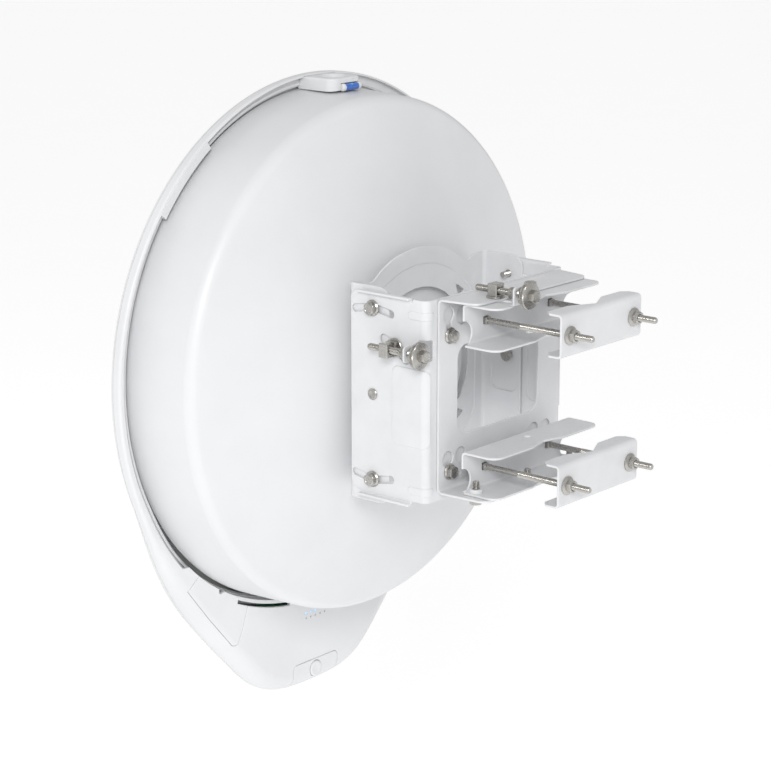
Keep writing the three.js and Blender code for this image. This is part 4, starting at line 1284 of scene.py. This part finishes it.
def add_status_lights():
    low, high, _ = box("status_light_bar")
    show(block(low, high, 0.3), "status_light_bar", UNLIT)
    foot = high.y + 0.05
    rows = [(0, foot), (0.85, foot), (0.85, REAR_Y - 0.35), (0.5, REAR_Y - 0.12), (0, REAR_Y - 0.08)]
    for i, (x, z, lit) in enumerate(status_dots()):
        lens = lathe(rows, (x, 0, z), segments=20)
        show(lens, "status_light_bar", LIT if lit else UNLIT, f"status_light_{i + 1}", replaces=False)


DOME = {"z": -12, "gap": 0.3, "rings": 30, "edge_steps": (12, 8)}


def radome_layer(wall, steps):
    """Rings from the seam round the edge to near the dome's middle, moved in by the wall; and the middle."""
    def seam(z):
        return bent_depth(BEND["seam"], z) - DOME["gap"]

    def depth(z):
        return seam(z) - bent_depth(BEND["front"], z)

    rings = []
    for k in range(steps + 1):
        turn = math.radians(90 * k / steps)
        rings.append(ring_at(lambda z, t=turn: wall + depth(z) * (1 - math.cos(t)),
                             lambda z, t=turn: seam(z) - max(0.8, depth(z) - wall) * math.sin(t)))
    middle = Vector((0, box("radome")[0].y + wall, DOME["z"]))
    edge = rings[-1]
    for k in range(1, DOME["rings"]):
        left = 1 - k / DOME["rings"]
        rings.append([(x * left, middle.y + (y - middle.y) * left ** 2, z + (middle.z - z) * (1 - left))
                      for x, y, z in edge])
    return rings, middle


def add_radome():
    outer_steps, inner_steps = DOME["edge_steps"]
    outer, outer_middle = radome_layer(0.0, outer_steps)
    inner, inner_middle = radome_layer(WALL, inner_steps)
    bm = bmesh.new()
    rows = [[bm.verts.new(point) for point in ring] for ring in outer[::-1] + inner]
    for first, second in zip(rows, rows[1:]):
        strip(bm, first, second)
    for row, middle in ((rows[0], outer_middle), (rows[-1], inner_middle)):
        hub = bm.verts.new(middle)
        for i in range(len(row)):
            bm.faces.new((row[i - 1], row[i], hub))
    show(face_outwards(bm), "radome", PLASTIC, sharp=40)


RECESS_Y = -268   # the round sighting recess's middle


def add_alignment_module():
    low, high, _ = box("alignment_module")
    half, rear, top = high.x, high.y, high.z
    outline = rounded([(-half, low.y, 0), (half, low.y, 0), (half, rear, 9), (-half, rear, 9)])
    module = body(prism(outline, "z", 232, top, 1.6))
    vial_low, vial_high, vial = box("level_vial")
    at_vial = (0, vial.y, vial.z)
    cap_right, cap_left = box("vial_cap_right")[1].x, box("vial_cap_left")[0].x
    sight = [(0, 245.4), (11.6, 245.4), (12.0, 245.8), (12.2, top - 0.5), (12.7, top), (13.4, top + 1),
             (0, top + 1)]
    cut(module, pin(240.6, -310, -230, (0, 0, DRUM_Z), segments=ROUND),
        lathe(sight, (0, RECESS_Y, 0), "+z", 96),
        pin(4, cap_left - 0.7, cap_right + 0.7, at_vial, "+x", 40),
        prism(rectangle(-14.6, 246.1, -6.4, 248.4, 0.8), "y", rear - 0.6, rear + 1, 0))
    join(module, prism(arc(0, RECESS_Y, 11.8, -90, 90, 24), "z", 245.0, 247.4, 0.2))
    show(module, "alignment_module", PLASTIC, sharp=35)
    start, stop = vial_low.x, vial_high.x
    tube = [(0, start), (3.0, start), (3.2, start + 0.3), (3.2, stop - 0.3), (3.0, stop), (0, stop)]
    show(lathe(tube, at_vial, "+x"), "level_vial", LIQUID)
    bubble = [(0, -6.3), (1.2, -6.1), (1.9, -5.3), (2.1, -4.0), (1.9, -2.7), (1.2, -1.9), (0, -1.7)]
    bubble = lathe(bubble, (0, vial.y + 0.6, vial.z + 1.35), "+x", 32)
    show(bubble, "level_vial", BUBBLE, "level_bubble", replaces=False)
    for side, sign in SIDES:
        low, high, _ = box(f"vial_cap_{side}")
        start, stop = (low.x, high.x) if sign > 0 else (high.x, low.x)
        rows = [(0, start), (3.3, start), (3.5, start + sign * 0.3), (3.5, stop - sign * 1.2),
                (3.0, stop - sign * 0.4), (2.0, stop), (0, stop)]
        show(lathe(rows, at_vial, "+x"), f"vial_cap_{side}", PLASTIC)


FOCUS = 150


def add_inner_parts():
    """The reflector and the feed behind the radome, finely turned; the rest keeps its CAD shape."""
    low, high, _ = box("reflector")
    rim, depth = high.x, high.y
    bowl = [(radius, depth - radius * radius / (4 * FOCUS)) for radius in range(18, int(rim), 13)]
    bowl.append((rim, low.y + 1.6))
    front = [(radius, y - 1.6) for radius, y in reversed(bowl)]
    axis = (0, 0, DRUM_Z)
    show(lathe(bowl + front, axis, segments=160, closed=True), "reflector", SPUN, sharp=40)
    horn = [(5.5, -290), (15.6, -290), (16, -289.6), (16, -283.5), (15.4, -282.6), (9.4, -262), (9, -260),
            (9, -196), (14.6, -196), (15, -195.6), (15, -183.4), (14.6, -183), (5.5, -183)]
    show(lathe(horn, axis, segments=96, closed=True), "feed", SPUN, sharp=35)
    for node_name, material in (("radio_board", BOARD), ("heat_sink", CAST), ("ethernet_jack", STEEL)):
        mesh = frame["nodes"][node_name].data
        mesh.materials.clear()
        mesh.materials.append(material)


# ---------------------------------------------------------------- floor, light and camera

CAMERA = {"lens": 110.12, "position": (1.5796, 1.1495, 0.5122), "back": (0.7348, 0.6302, 0.2510)}
FLOOR = {"z": -0.95, "half": 60, "glow": 0.37}
SKY = 0.59
# Name, direction, distance and size in metres, and power in watts.
LIGHTS = (("key", (1.0, 0.75, 0.6), 3.2, 1.0, 49), ("fill", (-0.2, 1.0, 0.5), 3.4, 2.4, 3),
          ("front", (0.5, -1.0, 0.6), 3.4, 2.0, 12))
LIT_POINT = (0, -0.18, 0)


def add_camera():
    data = bpy.data.cameras.new("camera")
    data.lens = CAMERA["lens"]
    data.sensor_width = 36
    data.clip_start = 0.05
    data.clip_end = 200
    camera = bpy.data.objects.new("camera", data)
    camera.location = CAMERA["position"]
    camera.rotation_euler = Vector(CAMERA["back"]).to_track_quat("Z", "Y").to_euler()
    bpy.context.scene.collection.objects.link(camera)
    bpy.context.scene.camera = camera


def add_area_light(name, direction, distance, size, power):
    data = bpy.data.lights.new(name, "AREA")
    data.shape = "DISK"
    data.size = size
    data.energy = power
    light = bpy.data.objects.new(name, data)
    towards = Vector(direction).normalized()
    light.location = towards * distance + Vector(LIT_POINT)
    light.rotation_euler = towards.to_track_quat("Z", "Y").to_euler()
    bpy.context.scene.collection.objects.link(light)


def add_stage():
    material, shader = new_material("studio_floor", (0.93, 0.93, 0.935), 0.85)
    link(material, ramp(material, noise(material, 3, 3), (0.965, 0.965, 0.968), (0.975, 0.975, 0.978)),
         shader.inputs["Base Color"])
    shader.inputs["Emission Color"].default_value = (1.0, 1.0, 1.0, 1)
    shader.inputs["Emission Strength"].default_value = FLOOR["glow"]
    bm = bmesh.new()
    bmesh.ops.create_grid(bm, x_segments=40, y_segments=40, size=FLOOR["half"])
    mesh = bpy.data.meshes.new("floor")
    bm.to_mesh(mesh)
    bm.free()
    floor = bpy.data.objects.new("floor", mesh)
    floor.location.z = FLOOR["z"]
    mesh.materials.append(material)
    bpy.context.scene.collection.objects.link(floor)

    world = bpy.data.worlds.new("studio")
    world.use_nodes = True
    background = world.node_tree.nodes["Background"]
    background.inputs["Color"].default_value = (1.0, 1.0, 1.0, 1)
    background.inputs["Strength"].default_value = SKY
    bpy.context.scene.world = world
    for light in LIGHTS:
        add_area_light(*light)
    bpy.context.scene.view_settings.view_transform = "Standard"


add_camera()
add_stage()
add_fasteners()
add_brackets()
add_drum()
add_housing()
add_status_lights()
add_radome()
add_alignment_module()
add_inner_parts()
